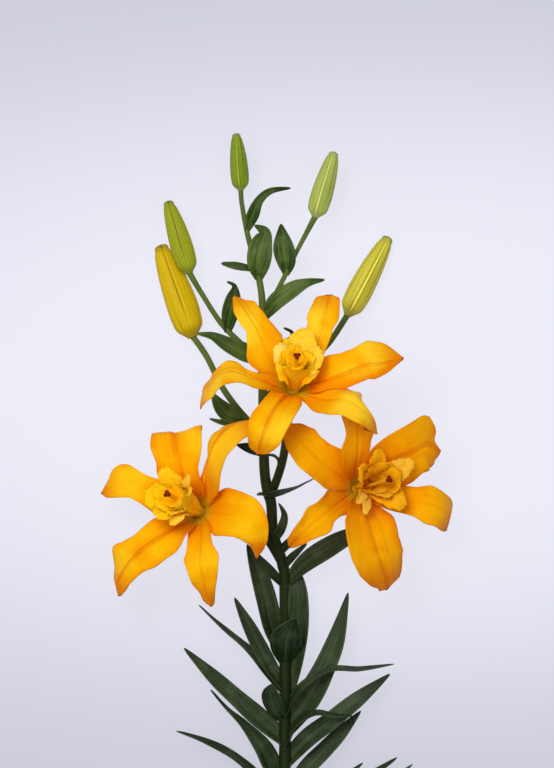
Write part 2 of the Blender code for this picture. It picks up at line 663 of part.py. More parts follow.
def bloom_pistil(name, bloom, collection):
    """The ovary stands on the receptacle, and the style carries on from it to the stigma."""
    low = RECEPTACLE_HEIGHT + SEAT_GAP
    foot = on_bloom(bloom, np.zeros(3), 0, low)
    waist = on_bloom(bloom, np.zeros(3), 0, low + 16)
    top = np.asarray(bloom["stigma"], float) - unit(bloom["axis"]) * (STIGMA_RADIUS * 0.6 + SEAT_GAP)
    middle = (waist + top) / 2
    knots = (
        (*foot, OVARY_RADIUS), (*((foot * 2 + waist) / 3), OVARY_RADIUS * 1.05), (*waist, STYLE_RADIUS),
        (*middle, STYLE_RADIUS), (*top, STYLE_RADIUS * 1.5),
    )
    mesh = tube(name, knots, collection, 8, 2)
    return finish(add_object(name + "_pistil", mesh, collection), "pistil")


def bloom_stigma(name, bloom, collection):
    """Three rounded lobes, flat on top."""
    bm = bmesh.new()
    bmesh.ops.create_uvsphere(bm, u_segments=12, v_segments=5, radius=1)
    for vertex in bm.verts:
        x, y, z = vertex.co
        lobes = 1 + 0.3 * math.cos(3 * math.atan2(y, x))
        vertex.co = (x * STIGMA_RADIUS * lobes, y * STIGMA_RADIUS * lobes, z * STIGMA_RADIUS * 0.6)
    turned_to(bm, bloom["axis"], bloom["stigma"])
    return finish(add_object(name + "_stigma", mesh_from(bm, name), collection), "stigma", 0.35)


def bud(name, base, tip, radius, collection):
    """Three outer tepals closed round each other, with a ridge on each and a flat spot where the bud lies."""
    length = math.dist(base, tip)
    segments = len(BUD_OUTLINE) - 1
    bm = bmesh.new()
    bmesh.ops.create_cone(bm, cap_ends=True, segments=15, radius1=1, radius2=1, depth=1)
    sides = [edge for edge in bm.edges if abs(edge.verts[0].co.z - edge.verts[1].co.z) > 0.5]
    bmesh.ops.subdivide_edges(bm, edges=sides, cuts=segments - 1, use_grid_fill=False)
    for vertex in bm.verts:
        x, y, z = vertex.co
        along = z + 0.5
        width = BUD_OUTLINE[round(along * segments)] * radius
        width *= 1 + BUD_RIDGE * math.cos(3 * math.atan2(y, x)) * math.sin(math.pi * along)
        vertex.co = (x * width, y * width, along * length)
    turned_to(bm, np.subtract(tip, base), base)
    for vertex in bm.verts:
        vertex.co.z = max(vertex.co.z, 0)
    return finish(add_object(name, mesh_from(bm, name), collection), name, 0.45)


def main():
    for obj in list(bpy.data.objects):
        bpy.data.objects.remove(obj)
    lily = bpy.data.collections.new("la_hybrid_lily")
    bpy.context.scene.collection.children.link(lily)
    leafy_stem(lily)
    for name, bloom in BLOOMS.items():
        bloom_tepals(name, bloom, lily)
        bloom_petaloids(name, bloom, lily)
        bloom_pistil(name, bloom, lily)
        bloom_stigma(name, bloom, lily)
    for name, (base, tip, radius) in BUDS.items():
        bud(name, base, tip, radius, lily)


main()
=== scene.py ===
"""Looks of a cut LA hybrid lily: three open double blooms, five buds, and leaves all down the stem.

The stem lies on its back along +Y, and the camera looks straight down on it. Metres, +Z up. The
tables are in millimetres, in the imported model's frame, and MM turns them into metres.
"""

import math

import bmesh
import bpy
import numpy as np
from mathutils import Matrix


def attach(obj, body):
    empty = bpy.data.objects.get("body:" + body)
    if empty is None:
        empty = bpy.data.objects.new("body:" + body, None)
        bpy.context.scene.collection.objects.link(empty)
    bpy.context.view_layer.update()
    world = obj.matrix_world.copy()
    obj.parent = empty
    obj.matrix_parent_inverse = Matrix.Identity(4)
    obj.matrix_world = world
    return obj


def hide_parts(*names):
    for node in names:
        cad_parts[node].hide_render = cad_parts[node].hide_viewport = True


MM = 0.001

# The camera is CAMERA_AWAY above the plane at CAMERA_LEVEL, where the picture is PICTURE_HEIGHT tall
PICTURE_CENTRE = (-0.4, 148.8)
PICTURE_HEIGHT = 614.4
CAMERA_LEVEL = 40.0
CAMERA_AWAY = 6000.0
SENSOR_HEIGHT = 36.0

# Each lamp's name, place and size in metres, power and colour, where both look, and the light all round
LAMPS = (
    ("Key", (-0.6, 0.8, 2.2), 1.1, 42, (1.0, 0.975, 0.94)),
    ("Fill", (0.45, -0.4, 2.3), 1.8, 13.5, (1, 1, 1)),
)
LIT_PLACE = (0, 0.1, 0.05)
WORLD_COLOUR = (0.92, 0.93, 1.0, 1)
WORLD_STRENGTH = 0.3

TEPAL_THICKNESS = 0.7
PETALOID_THICKNESS = 0.5
LEAF_THICKNESS = 0.7
SEAT_GAP = 0.3
RECEPTACLE_HEIGHT = 3.0
COLLAR_HEIGHT = 9.0
OVARY_RADIUS = 2.1
OVARY_LENGTH = 16
STYLE_RADIUS = 1.3
STIGMA_DEPTH = 1.9
# How far out each round lobe of a stigma has its middle, and that lobe's radius
LOBE = (1.55, 1.7)
CUT_RADIUS = 4.5
# Half widths of a receptacle from its foot to the collar's rim, where they are, and its grid
RECEPTACLE_WIDTHS = ((0, 5.6), (0.15, 6.4), (0.3, 6.5), (0.5, 6.2), (0.8, 5.0), (1, 3.4))
RECEPTACLE_GRID = (36, 12)
# A core from its foot over its lip and down inside: how far along, then its width and height as shares
CORE_OUTLINE = (
    (0, 0.36, 0.12), (0.3, 0.6, 0.55), (0.5, 0.85, 0.85), (0.62, 1.0, 0.98), (0.7, 0.92, 1.0),
    (0.84, 0.55, 0.93), (1, 0.14, 0.85),
)
CORE_GRID = (90, 44)
CORE_TONE = -0.05

# Squares across and along each kind of blade, and round and along each kind of tube
TEPAL_GRID = (26, 64)
PETALOID_GRID = (18, 34)
LEAF_GRID = (12, 44)
STEM_GRID = (28, 260)
STALK_GRID = (20, 90)
BUD_GRID = (96, 72)

# Roots on the receptacle: how far out from the axis, how high above the seat, and half width
TEPAL_ROOT = (5.0, 1.8, 3.2)
TEPAL_CLAW = (8.3, 8.5, 4.2)
PETALOID_ROOT = (3.7, 4.2)
PETALOID_WIDTHS = ((0, 0.3), (0.2, 0.62), (0.42, 0.95), (0.7, 1.13), (0.9, 1.0), (1, 0.75))

# How far the edges stand above the midrib at the root, middle and tip, as a share of the half width
TEPAL_CUP = (0.5, 0.12, -0.16)
PETALOID_CUP = (0.5, 0.25, -0.1)
# The powers by which a petaloid leans out and stops climbing along its length
PETALOID_FLARE = 2.6
PETALOID_CLIMB = 2.0
# One whose tip is this close to the axis stands straight up, and its edges stand up by this much more
UPRIGHT_WITHIN = 8
UPRIGHT_CUP = (0, 0.3, 0.5)
LEAF_CUP = (0.45, 0.22, 0.12)

# The main stem from its cut end to the highest bud: x, y, z, radius
STEM = (
    (5, -349.6, 4.94, 5.2), (5.6, -250, 9.4, 5.0), (6, -150, 13, 4.8), (6, -20, 19, 4.6),
    (4, 4, 20.3, 4.5), (-3.4, 29, 22, 4.3), (-4.9, 52, 23.5, 4.3), (-7.5, 62, 24, 4.6),
    (-10, 76, 24.6, 4.2), (-11, 100, 25.5, 4.0), (-12, 160, 27, 3.5), (-12, 209, 28, 2.9),
    (-15.4, 236, 28.7, 2.6), (-23.8, 268, 29.3, 2.2), (-28.5, 293, 29.8, 1.9),
    (-29.4, 304.8, 30, 2.1),
)

# Each stalk from the stem to where it straightens under its bloom or bud: x, y, z, radius
STALKS = {
    "bloom_top": ((-6, 58, 24, 3.6), (0, 74, 31, 3.5), (5, 92, 37, 3.4), (8, 116, 41, 3.3)),
    "bloom_left": ((2, 8, 21, 3.8), (-12, 29, 22, 3.4), (-32, 41, 20, 3.2)),
    "bloom_right": ((1, 14, 21, 3.8), (15, 27, 22, 3.4), (32, 44, 19, 3.2)),
    "bud_upper_right": (
        (-12, 194, 28, 2.4), (-8.4, 206.6, 29, 2.2), (4.2, 232, 32.5, 2.0), (17, 258, 33, 1.8),
    ),
    "bud_lower_right": (
        (-11.5, 136, 26.5, 2.8), (4, 150, 27, 2.6), (24, 166, 23, 2.5), (40.6, 181, 17, 2.4),
    ),
    "bud_upper_left": (
        (-12, 163, 27, 2.6), (-26.6, 178.6, 27, 2.4), (-44.8, 197, 25, 2.2), (-60, 220, 23.5, 2.1),
    ),
    "bud_lower_left": (
        (-11, 106, 26, 3.0), (-29.2, 125.6, 25.5, 2.7), (-44.2, 146, 21, 2.5), (-57, 171, 16, 2.4),
    ),
}
# Under a bloom a stalk runs straight: how far below the seat, and its radius there
STRAIGHT_END = ((14, 3.3), (8, 3.8), (-0.5, 5.2))
BUD_FOOT = 2.5

# Each bud: where its base and its blunt tip are, and its largest radius
BUDS = {
    "bud_top": ((-29.4, 303.9, 30), (-33.2, 349.8, 31), 7.2),
    "bud_upper_right": ((30.1, 282.2, 33), (45.5, 335, 32), 8.6),
    "bud_lower_right": ((56, 203.8, 11.2), (89.6, 267.5, 6.3), 10.0),
    "bud_upper_left": ((-70.7, 237.4, 22.5), (-88.2, 295.9, 20), 9.0),
    "bud_lower_left": ((-67.9, 186.3, 13.2), (-94.5, 260.8, 8.2), 12.5),
}
BUD_OUTLINE = (0.32, 0.86, 0.98, 1.01, 0.99, 0.95, 0.89, 0.81, 0.71, 0.57, 0.3)
BUD_RIDGE = 0.07

# The tepals. midrib is x, y, z, half width, and where it rolls, its roll in degrees, and edges is the
# outline that shows from above. rib is how clear the midrib is, in its own deeper colour and in painted
# shade beside it, and middle is how far it lies to one side. drops is how far the two edges hang. foot,
# end and shade are how deep the painted shade makes the colour at the foot, towards the tip and on one
# side of the rib, and a small blunt makes the tip round. reflex turns one edge down: its side, where
# that starts across, from and to where along, and how far. Each of corners is pulled out of one edge:
# its side, where that starts across, its place and spread along, and the pull
TOP_TEPALS = {
    "upper_left": dict(
        rib=0.2, drops=(0, 4),
        midrib=((-2, 163, 76, 13), (-9.5, 179, 83, 13.5), (-16.5, 194, 83, 12.5), (-26, 208, 76, 9),
                (-34, 219, 62, 2)),
        edges=((4, 148), (-8, 152), (-20.8, 164.6), (-22.6, 170), (-22, 182), (-23.2, 191.6),
               (-29.2, 198.8), (-35.2, 208.4), (-36.2, 218), (-32, 221), (-27, 215.8), (-18.4, 213.8),
               (-10, 204.8), (-2.8, 195.2), (3.2, 188), (4, 176), (6, 160)),
    ),
    "top": dict(
        rib=0.5, drops=(3, 0),
        midrib=((23, 163, 75, 11), (31, 179, 82, 13), (36, 193, 82, 13.5), (39, 208, 75, 13),
                (42, 220, 60, 6)),
        edges=((14, 150), (17, 170), (20, 186), (24.2, 197.6), (23, 202.4), (26, 208.4), (30.8, 216.8),
               (42.8, 223.4), (48.8, 219.6), (50, 214.4), (48.2, 200), (42.8, 192.8), (39.2, 182),
               (36.2, 172.4), (26, 150)),
    ),
    "right": dict(
        # painted shade at its foot and on its lower side
        rib=0.9, drops=(7, 0), middle=-0.35, foot=0.9, shade=-1.3,
        midrib=((34, 153, 82, 13), (52, 161, 92, 14), (70, 169, 95, 15.5), (86, 170, 90, 12),
                (100, 169, 80, 2)),
        edges=((18, 152), (28, 166), (39.2, 171.2), (50, 173.6), (62, 178.4), (72.2, 184.4), (82, 182),
               (89.6, 178.4), (99.8, 171), (99.8, 168), (93, 162), (84.2, 158), (70.4, 155.6),
               (60.8, 150.8), (50, 147.2), (35.6, 146), (28, 146.6), (21, 141.8)),
    ),
    "lower_right": dict(
        rib=0.3, reflex=(1, 0.28, 0.42, 1.0, 11),
        midrib=((33, 137.5, 88, 11), (51, 137, 106, 14.5), (65, 130, 110, 14), (75, 120, 101, 9.5),
                (80, 109.5, 86, 2.5)),
        edges=((18, 138), (20.6, 129.8), (32, 126.2), (42.8, 124.4), (50, 124.4), (59, 119.6),
               (68, 114.8), (78.8, 108.2), (81.2, 117.2), (80, 124.4), (76.4, 130.4), (71, 138.8),
               (68, 147.2), (60.8, 150.2), (48, 151), (34, 149), (29, 144.6), (24, 139.4), (19, 135)),
    ),
    "bottom": dict(
        rib=0.95,
        midrib=((6, 138, 88, 13), (-1, 131, 108, 18), (-7.5, 119, 118, 17), (-12.5, 105, 115, 14),
                (-15.5, 93, 101, 3.5)),
        edges=((10, 146), (-4.6, 143.6), (-12.4, 135.2), (-20.8, 125.6), (-23.8, 117.2), (-23.8, 102.8),
               (-22, 95.6), (-15.4, 91.4), (-7.6, 93.2), (2, 100.4), (6.8, 110), (14, 123.2),
               (20.6, 134), (20, 142)),
    ),
    "left": dict(
        rib=0.6, drops=(0, 3),
        midrib=((-4, 148, 84, 9, 5), (-20, 154, 101, 11.5, 15), (-37, 159, 105, 12, 18),
                (-50, 152.5, 98, 10, 12), (-58.5, 141, 87, 7.5, 5), (-61, 129, 76, 2)),
        edges=((6.8, 148.4), (-10, 154.4), (-22, 160.4), (-32.8, 166.4), (-40, 167.6), (-46, 162.8),
               (-54.4, 155.6), (-59.8, 148.4), (-62.8, 136.4), (-61.5, 127.5), (-58.6, 134),
               (-54.4, 140), (-46, 146), (-40, 150.8), (-30.4, 152.6), (-16, 147.2), (-4, 143.6),
               (8, 142)),
    ),
}
LEFT_TEPALS = {
    "left": dict(
        # painted shade deep at its foot, in the cup
        rib=0.1, foot=1.1, drops=(0, 2),
        midrib=((-83, 56, 51, 12), (-97, 62, 58, 13.5), (-110, 67, 59, 12.5), (-123, 70.5, 54, 13),
                (-135, 66.5, 45, 8.5), (-141.5, 61, 36, 2)),
        edges=((-70, 52), (-80, 68), (-96.8, 73.2), (-103.5, 75.2), (-111.8, 79.9), (-119, 84.8),
               (-126.2, 84.5), (-132.4, 79.4), (-135.5, 72.1), (-142, 62.5), (-141.7, 60.3),
               (-136.6, 57.7), (-119, 58.2), (-108.7, 53), (-96.8, 44.2), (-80, 42)),
    ),
    "upper_left": dict(
        rib=0.75, foot=0.8, corners=((-1, 0.1, 0.8, 0.16, (3, 8, 0)),),
        midrib=((-71, 65, 54, 14), (-77, 81, 65, 17.5, 8), (-80.5, 97, 68, 20, 18),
                (-82, 108, 60, 19.5, 28), (-82.5, 108, 46, 14, 32), (-82.5, 100, 38, 4, 32)),
        edges=((-66, 52), (-88, 66), (-96.8, 76.3), (-96.8, 85.6), (-101.4, 95.9), (-102, 103.1),
               (-100.4, 109.8), (-92.1, 108.6), (-83.9, 109.9), (-75.6, 112.4), (-70.4, 116.4),
               (-66.3, 112.4), (-62.2, 105.2), (-60.9, 98), (-62.2, 88.7), (-63.7, 82.5), (-60, 64)),
    ),
    "upper_right": dict(
        rib=0.95, drops=(0, 3), middle=0.32,
        midrib=((-55, 66, 60, 11), (-54, 82, 71, 12, -8), (-50, 97, 75, 14, -10),
                (-41.5, 108.5, 73, 13.5, -10), (-31, 115.5, 66, 10, -8), (-19, 119, 56, 2.5, -5)),
        edges=((-62, 54), (-62.2, 68), (-62.2, 80.4), (-60.1, 94.9), (-57, 104.2), (-50.8, 112.4),
               (-41.5, 118.6), (-33.2, 120.7), (-23.9, 123.3), (-16, 120), (-19, 111), (-25, 105.2),
               (-30.1, 100), (-32.2, 94.9), (-40.5, 85.6), (-42.5, 78.3), (-41.5, 67), (-48, 54)),
    ),
    "right": dict(
        # painted shade towards its turned-down tip
        rib=0.15, drops=(3, 0), end=1.2,
        midrib=((-45, 46, 64, 17), (-30, 44, 82, 18.5), (-19, 37, 87, 15.5), (-14, 24, 81, 9.5),
                (-17, 10.5, 68, 2)),
        edges=((-60, 50), (-56.5, 61.8), (-48.7, 65.4), (-39.4, 65.9), (-29.1, 62.8), (-17.7, 57.7),
               (-11.5, 50.4), (-8.4, 42.2), (-6.9, 33.9), (-7.9, 23.6), (-11.5, 15.3), (-16.7, 9.6),
               (-19.3, 14.3), (-21.9, 19.4), (-29.1, 23.6), (-36.3, 27.2), (-46.7, 28.2), (-53.9, 26.7),
               (-59.1, 29.8), (-62, 40)),
    ),
    "bottom": dict(
        rib=0.4,
        midrib=((-61, 30, 62, 10.5), (-61.5, 17, 75, 12.5), (-62, 6, 81, 14), (-59.5, -5, 80, 12),
                (-57, -16, 74, 8), (-52.5, -28.5, 62, 2.5)),
        edges=((-68, 36), (-72, 22.5), (-73, 16.3), (-76.4, 8.1), (-72.5, 0.8), (-67.3, -12.6),
               (-62.2, -18.8), (-59.1, -25), (-54.4, -29.1), (-50.6, -28), (-49.2, -14.7), (-47.7, 0.8),
               (-48.2, 14.3), (-52.3, 20.5), (-54, 34)),
    ),
    "lower_left": dict(
        rib=0.95, drops=(0, 4),
        midrib=((-78, 35.5, 56, 12.5), (-94, 27, 68, 16), (-107.5, 17, 71, 16.5), (-119.5, 5, 67, 14.5),
                (-126.5, -8, 57, 9), (-126.5, -20.5, 45, 2.5)),
        edges=((-70, 50), (-90, 46), (-96.8, 42.2), (-104.5, 37), (-113.8, 28.7), (-124.2, 21.5),
               (-131.4, 18.4), (-134.5, 11.2), (-135.2, 0.8), (-134.5, -10.5), (-130.4, -16.7),
               (-125.7, -22.4), (-120, -10.5), (-110.7, -0.2), (-98.3, 6.5), (-88, 12.2), (-79.7, 17.9),
               (-73.5, 26.7), (-68, 36)),
    ),
}
RIGHT_TEPALS = {
    "upper_left": dict(
        rib=0.15, drops=(0, 3),
        midrib=((49, 76.5, 60, 13), (36, 88, 73, 15.5), (24, 98.5, 77, 15.5), (13, 108, 73, 12),
                (3, 115, 62, 3)),
        edges=((60, 90), (50.8, 96.4), (41.5, 101.1), (34.3, 106.2), (30.1, 112.9), (21.9, 116),
               (14.6, 119.1), (4, 120), (0, 112), (4.8, 105.7), (6.4, 100), (10.5, 93.8), (17.2, 83.5),
               (29.1, 74.2), (40, 64.4), (56, 62)),
    ),
    "top": dict(
        rib=0.2,
        midrib=((62, 82, 58, 10), (64, 98, 68, 12), (64, 113, 69, 12.5), (61, 127, 61, 9.5),
                (57, 139, 47, 2.5)),
        edges=((54, 74), (50, 90), (50.8, 96.9), (53.9, 102.1), (55.1, 109.3), (53.9, 116.6),
               (50.8, 123.3), (50, 132), (57, 142), (66, 134), (74, 122), (77, 112), (76.6, 107.3),
               (74.6, 101.1), (73, 92), (70, 76)),
    ),
    "upper_right": dict(
        rib=0.5, corners=((1, 0.5, 0.73, 0.06, (2, 4, 0)), (1, 0.2, 0.87, 0.08, (-8, -3, 0))),
        midrib=((79, 79, 53, 13), (94, 87.5, 63, 18), (109, 94.5, 65, 21.5), (121, 100, 58, 20.5),
                (129, 95, 46, 10), (128, 94, 34, 3.5)),
        edges=((66, 76), (74, 96), (83.9, 104.7), (93.2, 110.4), (104.5, 116.6), (112.8, 120.7),
               (122, 123), (120, 115.5), (120.6, 110.4), (125.7, 105.2), (132.4, 98), (132.4, 93.8),
               (128.3, 85.6), (123.1, 80.9), (115.9, 77.3), (108.7, 70.6), (102.5, 67.5), (80, 64)),
    ),
    "right": dict(
        rib=0.3,
        midrib=((80, 61.5, 53, 10), (95, 58.5, 63, 12), (112, 55.5, 66, 13), (127, 51, 62, 15),
                (135.5, 43.5, 52, 11.5), (135.5, 31.5, 40, 3)),
        edges=((66, 70), (84, 72), (103.5, 67.5), (111.8, 66.4), (123.1, 68), (132.4, 62.8),
               (138.6, 57.7), (140.7, 51.5), (139.2, 45.3), (136.6, 40.1), (136, 30), (132.4, 30.8),
               (125.2, 34.9), (116.9, 37), (110.7, 42.2), (103.5, 44.7), (90, 48), (72, 54)),
    ),
    "bottom": dict(
        rib=0.7, blunt=0.012,
        midrib=((70.5, 44, 66, 17.5), (76.5, 28, 79, 21), (81.5, 12, 81, 22), (85, -3, 74, 18),
                (86.3, -15, 62, 9.5)),
        edges=((60, 58), (53.9, 40.1), (54.9, 30.8), (57, 18.4), (61.1, 7), (67.3, -5.4), (74.6, -13.1),
               (82.8, -15.2), (90.1, -15.2), (95.2, -11.6), (98.3, -4.3), (100.4, 8.1), (100.9, 16.3),
               (97.3, 26.7), (94.2, 37), (91.6, 43.2), (76, 58)),
    ),
    "lower_left": dict(
        rib=0.2,
        midrib=((48, 53, 64, 11), (38, 45, 80, 14), (27, 36, 85, 12.5), (17, 27, 80, 8),
                (9.5, 19, 68, 2)),
        edges=((58, 66), (40, 64.4), (35.3, 57.7), (31.2, 53.5), (23.4, 50.4), (19.8, 42.2),
               (12.6, 32.9), (8.4, 25.6), (8, 19.5), (12, 18.1), (16.7, 19.4), (26, 23.6), (39.4, 28.2),
               (43.1, 30.8), (45.6, 39.1), (50.8, 43.2), (54.4, 43.7), (62, 54)),
    ),
}

# Each bloom: the top of its stalk, the way it looks, its stigma's place and turn, the height and width of
# its core and how far that leans away from the camera, and each petaloid's tip (x, y, z), half width and
# paleness. The first seven petaloids are the source's, and the rest are small ones that fill the heart
BLOOMS = {
    "bloom_top": dict(
        seat=(13, 143, 60), axis=(0.03, 0.4, 0.916), stigma=(15.4, 171, 123), stigma_turn=30,
        tepals=TOP_TEPALS, core=(54, 8.5, 3.5),
        petaloids=((-1, 180, 99, 9, 1.0), (9, 186, 96, 9, 0.05), (23, 193, 96, 11, 0.3),
                   (35, 176, 101, 10.5, 0.35), (33, 163, 99, 10, -0.1), (14, 160.5, 110, 11.5, 0.05),
                   (-1, 165, 101, 9.5, 0.05), (5, 177, 102, 8, 0.1), (28, 173, 102, 9.5, 0.15)),
    ),
    "bloom_left": dict(
        seat=(-61, 45.5, 35), axis=(-0.37, 0.23, 0.9), stigma=(-87.5, 61.8, 96), stigma_turn=95,
        tepals=LEFT_TEPALS, core=(56, 9.5, 3.0),
        petaloids=((-106, 59, 79, 11, 0.0), (-98, 44, 84, 10, 0.0), (-91, 82, 78, 8.5, 0.15),
                   (-70, 77, 84, 4, 0.45), (-83, 36, 87, 6.5, 0.4), (-76, 65, 95, 10.5, 0.1),
                   (-79, 53, 95, 10.5, 0.1), (-98, 66, 84, 8.5, 0.0), (-97, 53, 86, 8.5, 0.0),
                   (-87, 73, 86, 7.5, 0.0), (-86, 45, 90, 7.5, 0.15), (-67, 66, 86, 3.5, 0.3),
                   (-76, 58, 93, 9, 0.1)),
    ),
    "bloom_right": dict(
        seat=(62, 64, 35), axis=(0.38, 0.13, 0.916), stigma=(88.5, 73.2, 96), stigma_turn=90,
        tepals=RIGHT_TEPALS, core=(24, 5.5, 0),
        petaloids=((65, 84, 82, 6.5, 0.2), (108, 88, 76, 8, 0.5), (101, 50, 83, 9, 0.15),
                   (89, 59, 90, 6.5, 0.4), (69, 45, 81, 4, 0.8), (81, 98, 78, 7, 0.1),
                   (84, 87, 86, 9.5, -0.3), (98, 67, 84, 8.5, -0.1), (98, 79, 82, 8.5, -0.2),
                   (63, 54, 80, 3.5, 0.8), (91, 86, 82, 8, -0.3), (92, 73, 84, 8, -0.3),
                   (85, 62, 85, 7, -0.1)),
    ),
}

# Leaves from the lowest in the picture up to the blooms: the way each upper face looks at the root and
# at the tip, then x, y, z and half width all along its midrib
STEM_LEAVES = (
    ((0.4, 0.6, 0.7), (0.2, 0.9, 0.6), (6, -194, 11, 3), (-14, -170, 15, 5.5), (-34, -151, 19, 5),
     (-58, -138, 22, 3.5), (-81, -130, 22, 0.9)),
    ((0.5, 0.5, 0.8), (0.4, 0.6, 0.7), (5, -178, 12, 6), (-5, -160, 16, 10), (-13.5, -143, 20, 9.5),
     (-27, -125, 23, 5), (-40, -112, 25, 2), (-53.5, -96.5, 25, 0.8)),
    ((0.4, 0.5, 0.9), (0.3, 0.5, 0.9), (5, -138, 13, 7), (-15, -121, 18, 9.5), (-34, -103, 22, 8),
     (-52, -86, 25, 6.5), (-75, -63, 25, 0.9)),
    ((0.4, 0.6, 0.7), (0.1, 1, 0.3), (5, -99, 15, 6), (-9.5, -82, 20, 6.5), (-25, -63, 26, 5.5),
     (-43, -47.5, 30, 3.5), (-63, -28.5, 30, 0.8)),
    ((0.3, 0.5, 0.8), (0.3, 0.3, 1), (5, -95, 15, 5), (-5.5, -80, 18, 6.5), (-15, -62, 21, 6.8),
     (-24, -44, 24, 5.5), (-34.5, -22.5, 24, 0.9)),
    ((0.4, 0.2, 1), (0.3, 0.2, 1), (5, -70, 16, 5), (-3.8, -48, 21, 8.5), (-9.8, -22, 26, 8.7),
     (-17, 2, 27, 6.5), (-24.5, 20, 25, 0.9)),
    ((-0.3, 0.3, 1), (-0.2, 0.8, 0.6), (7, -106, 13, 5), (12.5, -86, 15, 6), (15, -66, 19, 8.5),
     (17, -44, 22, 9.5), (17, -24, 25, 8.5), (16, -8, 24, 5.5), (15.5, 0, 23, 1.5)),
    ((0, 1, -0.5), (0, 1, -0.2), (6, -78, 17, 3.5), (6, -69, 27, 10), (7, -59, 38, 13),
     (9, -49, 47, 11.5), (14, -38, 53, 1.5)),
    ((0, 1, -0.4), (0.2, 1, -0.1), (5, -124, 14, 3.5), (-1, -116, 24, 7.5), (-4.5, -106, 35, 8.5),
     (-5.5, -98, 43, 6.5), (-4, -91, 49, 1.2)),
    ((-0.3, 0.4, 0.9), (-0.3, 0.3, 1), (7, -131, 14, 7), (25, -105, 19, 11.5), (37.5, -81, 22, 9.6),
     (47.5, -56, 24, 7.5), (56.7, -18.5, 24, 0.9)),
    ((-0.2, 0.8, 0.6), (0, 1, 0.35), (7, -117, 15, 6.5), (20, -95.5, 28, 7), (41, -80, 38, 4),
     (66, -80, 38, 4.5), (93, -75.7, 31, 0.9)),
    ((-0.2, 0.6, 0.8), (-0.2, 0.6, 0.8), (7, -156, 12, 7), (25, -137, 16, 9), (46, -120, 19, 8.5),
     (67, -103, 20, 7), (90, -84, 19, 0.9)),
    ((-0.3, 0.8, 0.5), (0, 1, 0.5), (7, -144, 13, 6), (16, -125, 24, 7), (30, -115.5, 31, 4.5),
     (45, -117, 32, 3), (60.5, -117.5, 29, 0.8)),
    ((-0.4, 0.4, 0.9), (-0.4, 0.5, 0.8), (6, -186, 10, 5), (23, -162, 11, 8), (38, -146, 12, 8),
     (52, -131, 12, 6.5), (67, -114, 12, 0.9)),
    ((-0.3, 0.6, 0.8), (-0.2, 0.8, 0.6), (6, -212, 10, 3), (24, -194, 15, 6), (44, -176, 18, 5.5),
     (68.5, -155.5, 18, 0.9)),
    ((-0.3, 0.5, 0.8), (-0.2, 0.7, 0.7), (6, -228, 9, 3), (30, -203, 12, 6.5), (60, -177, 14, 6),
     (96, -151.5, 12, 0.9)),
    ((-0.3, 0.5, 0.8), (-0.1, 0.8, 0.6), (6, -240, 8, 3), (36, -216, 9, 6.5), (72, -187, 9, 6),
     (108.5, -157, 8, 0.9)),
    ((0.2, 0.3, 0.9), (0.3, 0.3, 0.9), (4, -12, 20, 3), (-6, -1, 25, 4), (-15.5, 12, 27, 0.9)),
    ((-0.4, 0.4, 0.9), (-0.3, 0.3, 1), (7, -12, 20, 3.5), (22, 4, 28, 8), (38, 15.5, 33, 9),
     (56, 26, 34, 7), (76, 35, 31, 0.9)),
    ((-0.2, 0.4, 0.9), (0, 0.5, 0.9), (3, 0, 21, 3), (12, 10, 25, 3.5), (23.5, 21, 28, 0.9)),
    ((-0.6, -0.3, 0.7), (-0.8, 0, 0.6), (-2, 24, 23, 3), (4, 34, 30, 4.5), (6, 44, 33, 4),
     (1, 53.5, 35, 0.9)),
    ((-0.2, 0.8, -0.6), (-0.3, 0.9, 0.2), (-8, 57, 26, 5), (2, 60, 34, 7), (14, 65, 38, 6),
     (28.5, 73, 38, 0.9)),
    ((0.2, 1, 0.2), (0.2, 1, 0.2), (-7, 58, 26, 4), (-12, 60, 31, 4), (-16.5, 60, 34, 0.9)),
    ((0, 1, 0.2), (1, 0, 0.4), (-11, 91, 27, 2.5), (-5, 91.5, 33, 2.5), (0, 88, 35, 2),
     (0, 80.5, 34, 0.8)),
    ((0.2, 0.4, 0.9), (0.2, 0.4, 0.9), (-11, 92, 26, 2.5), (-22, 97, 30, 4.5), (-32.5, 100, 31, 0.9)),
)

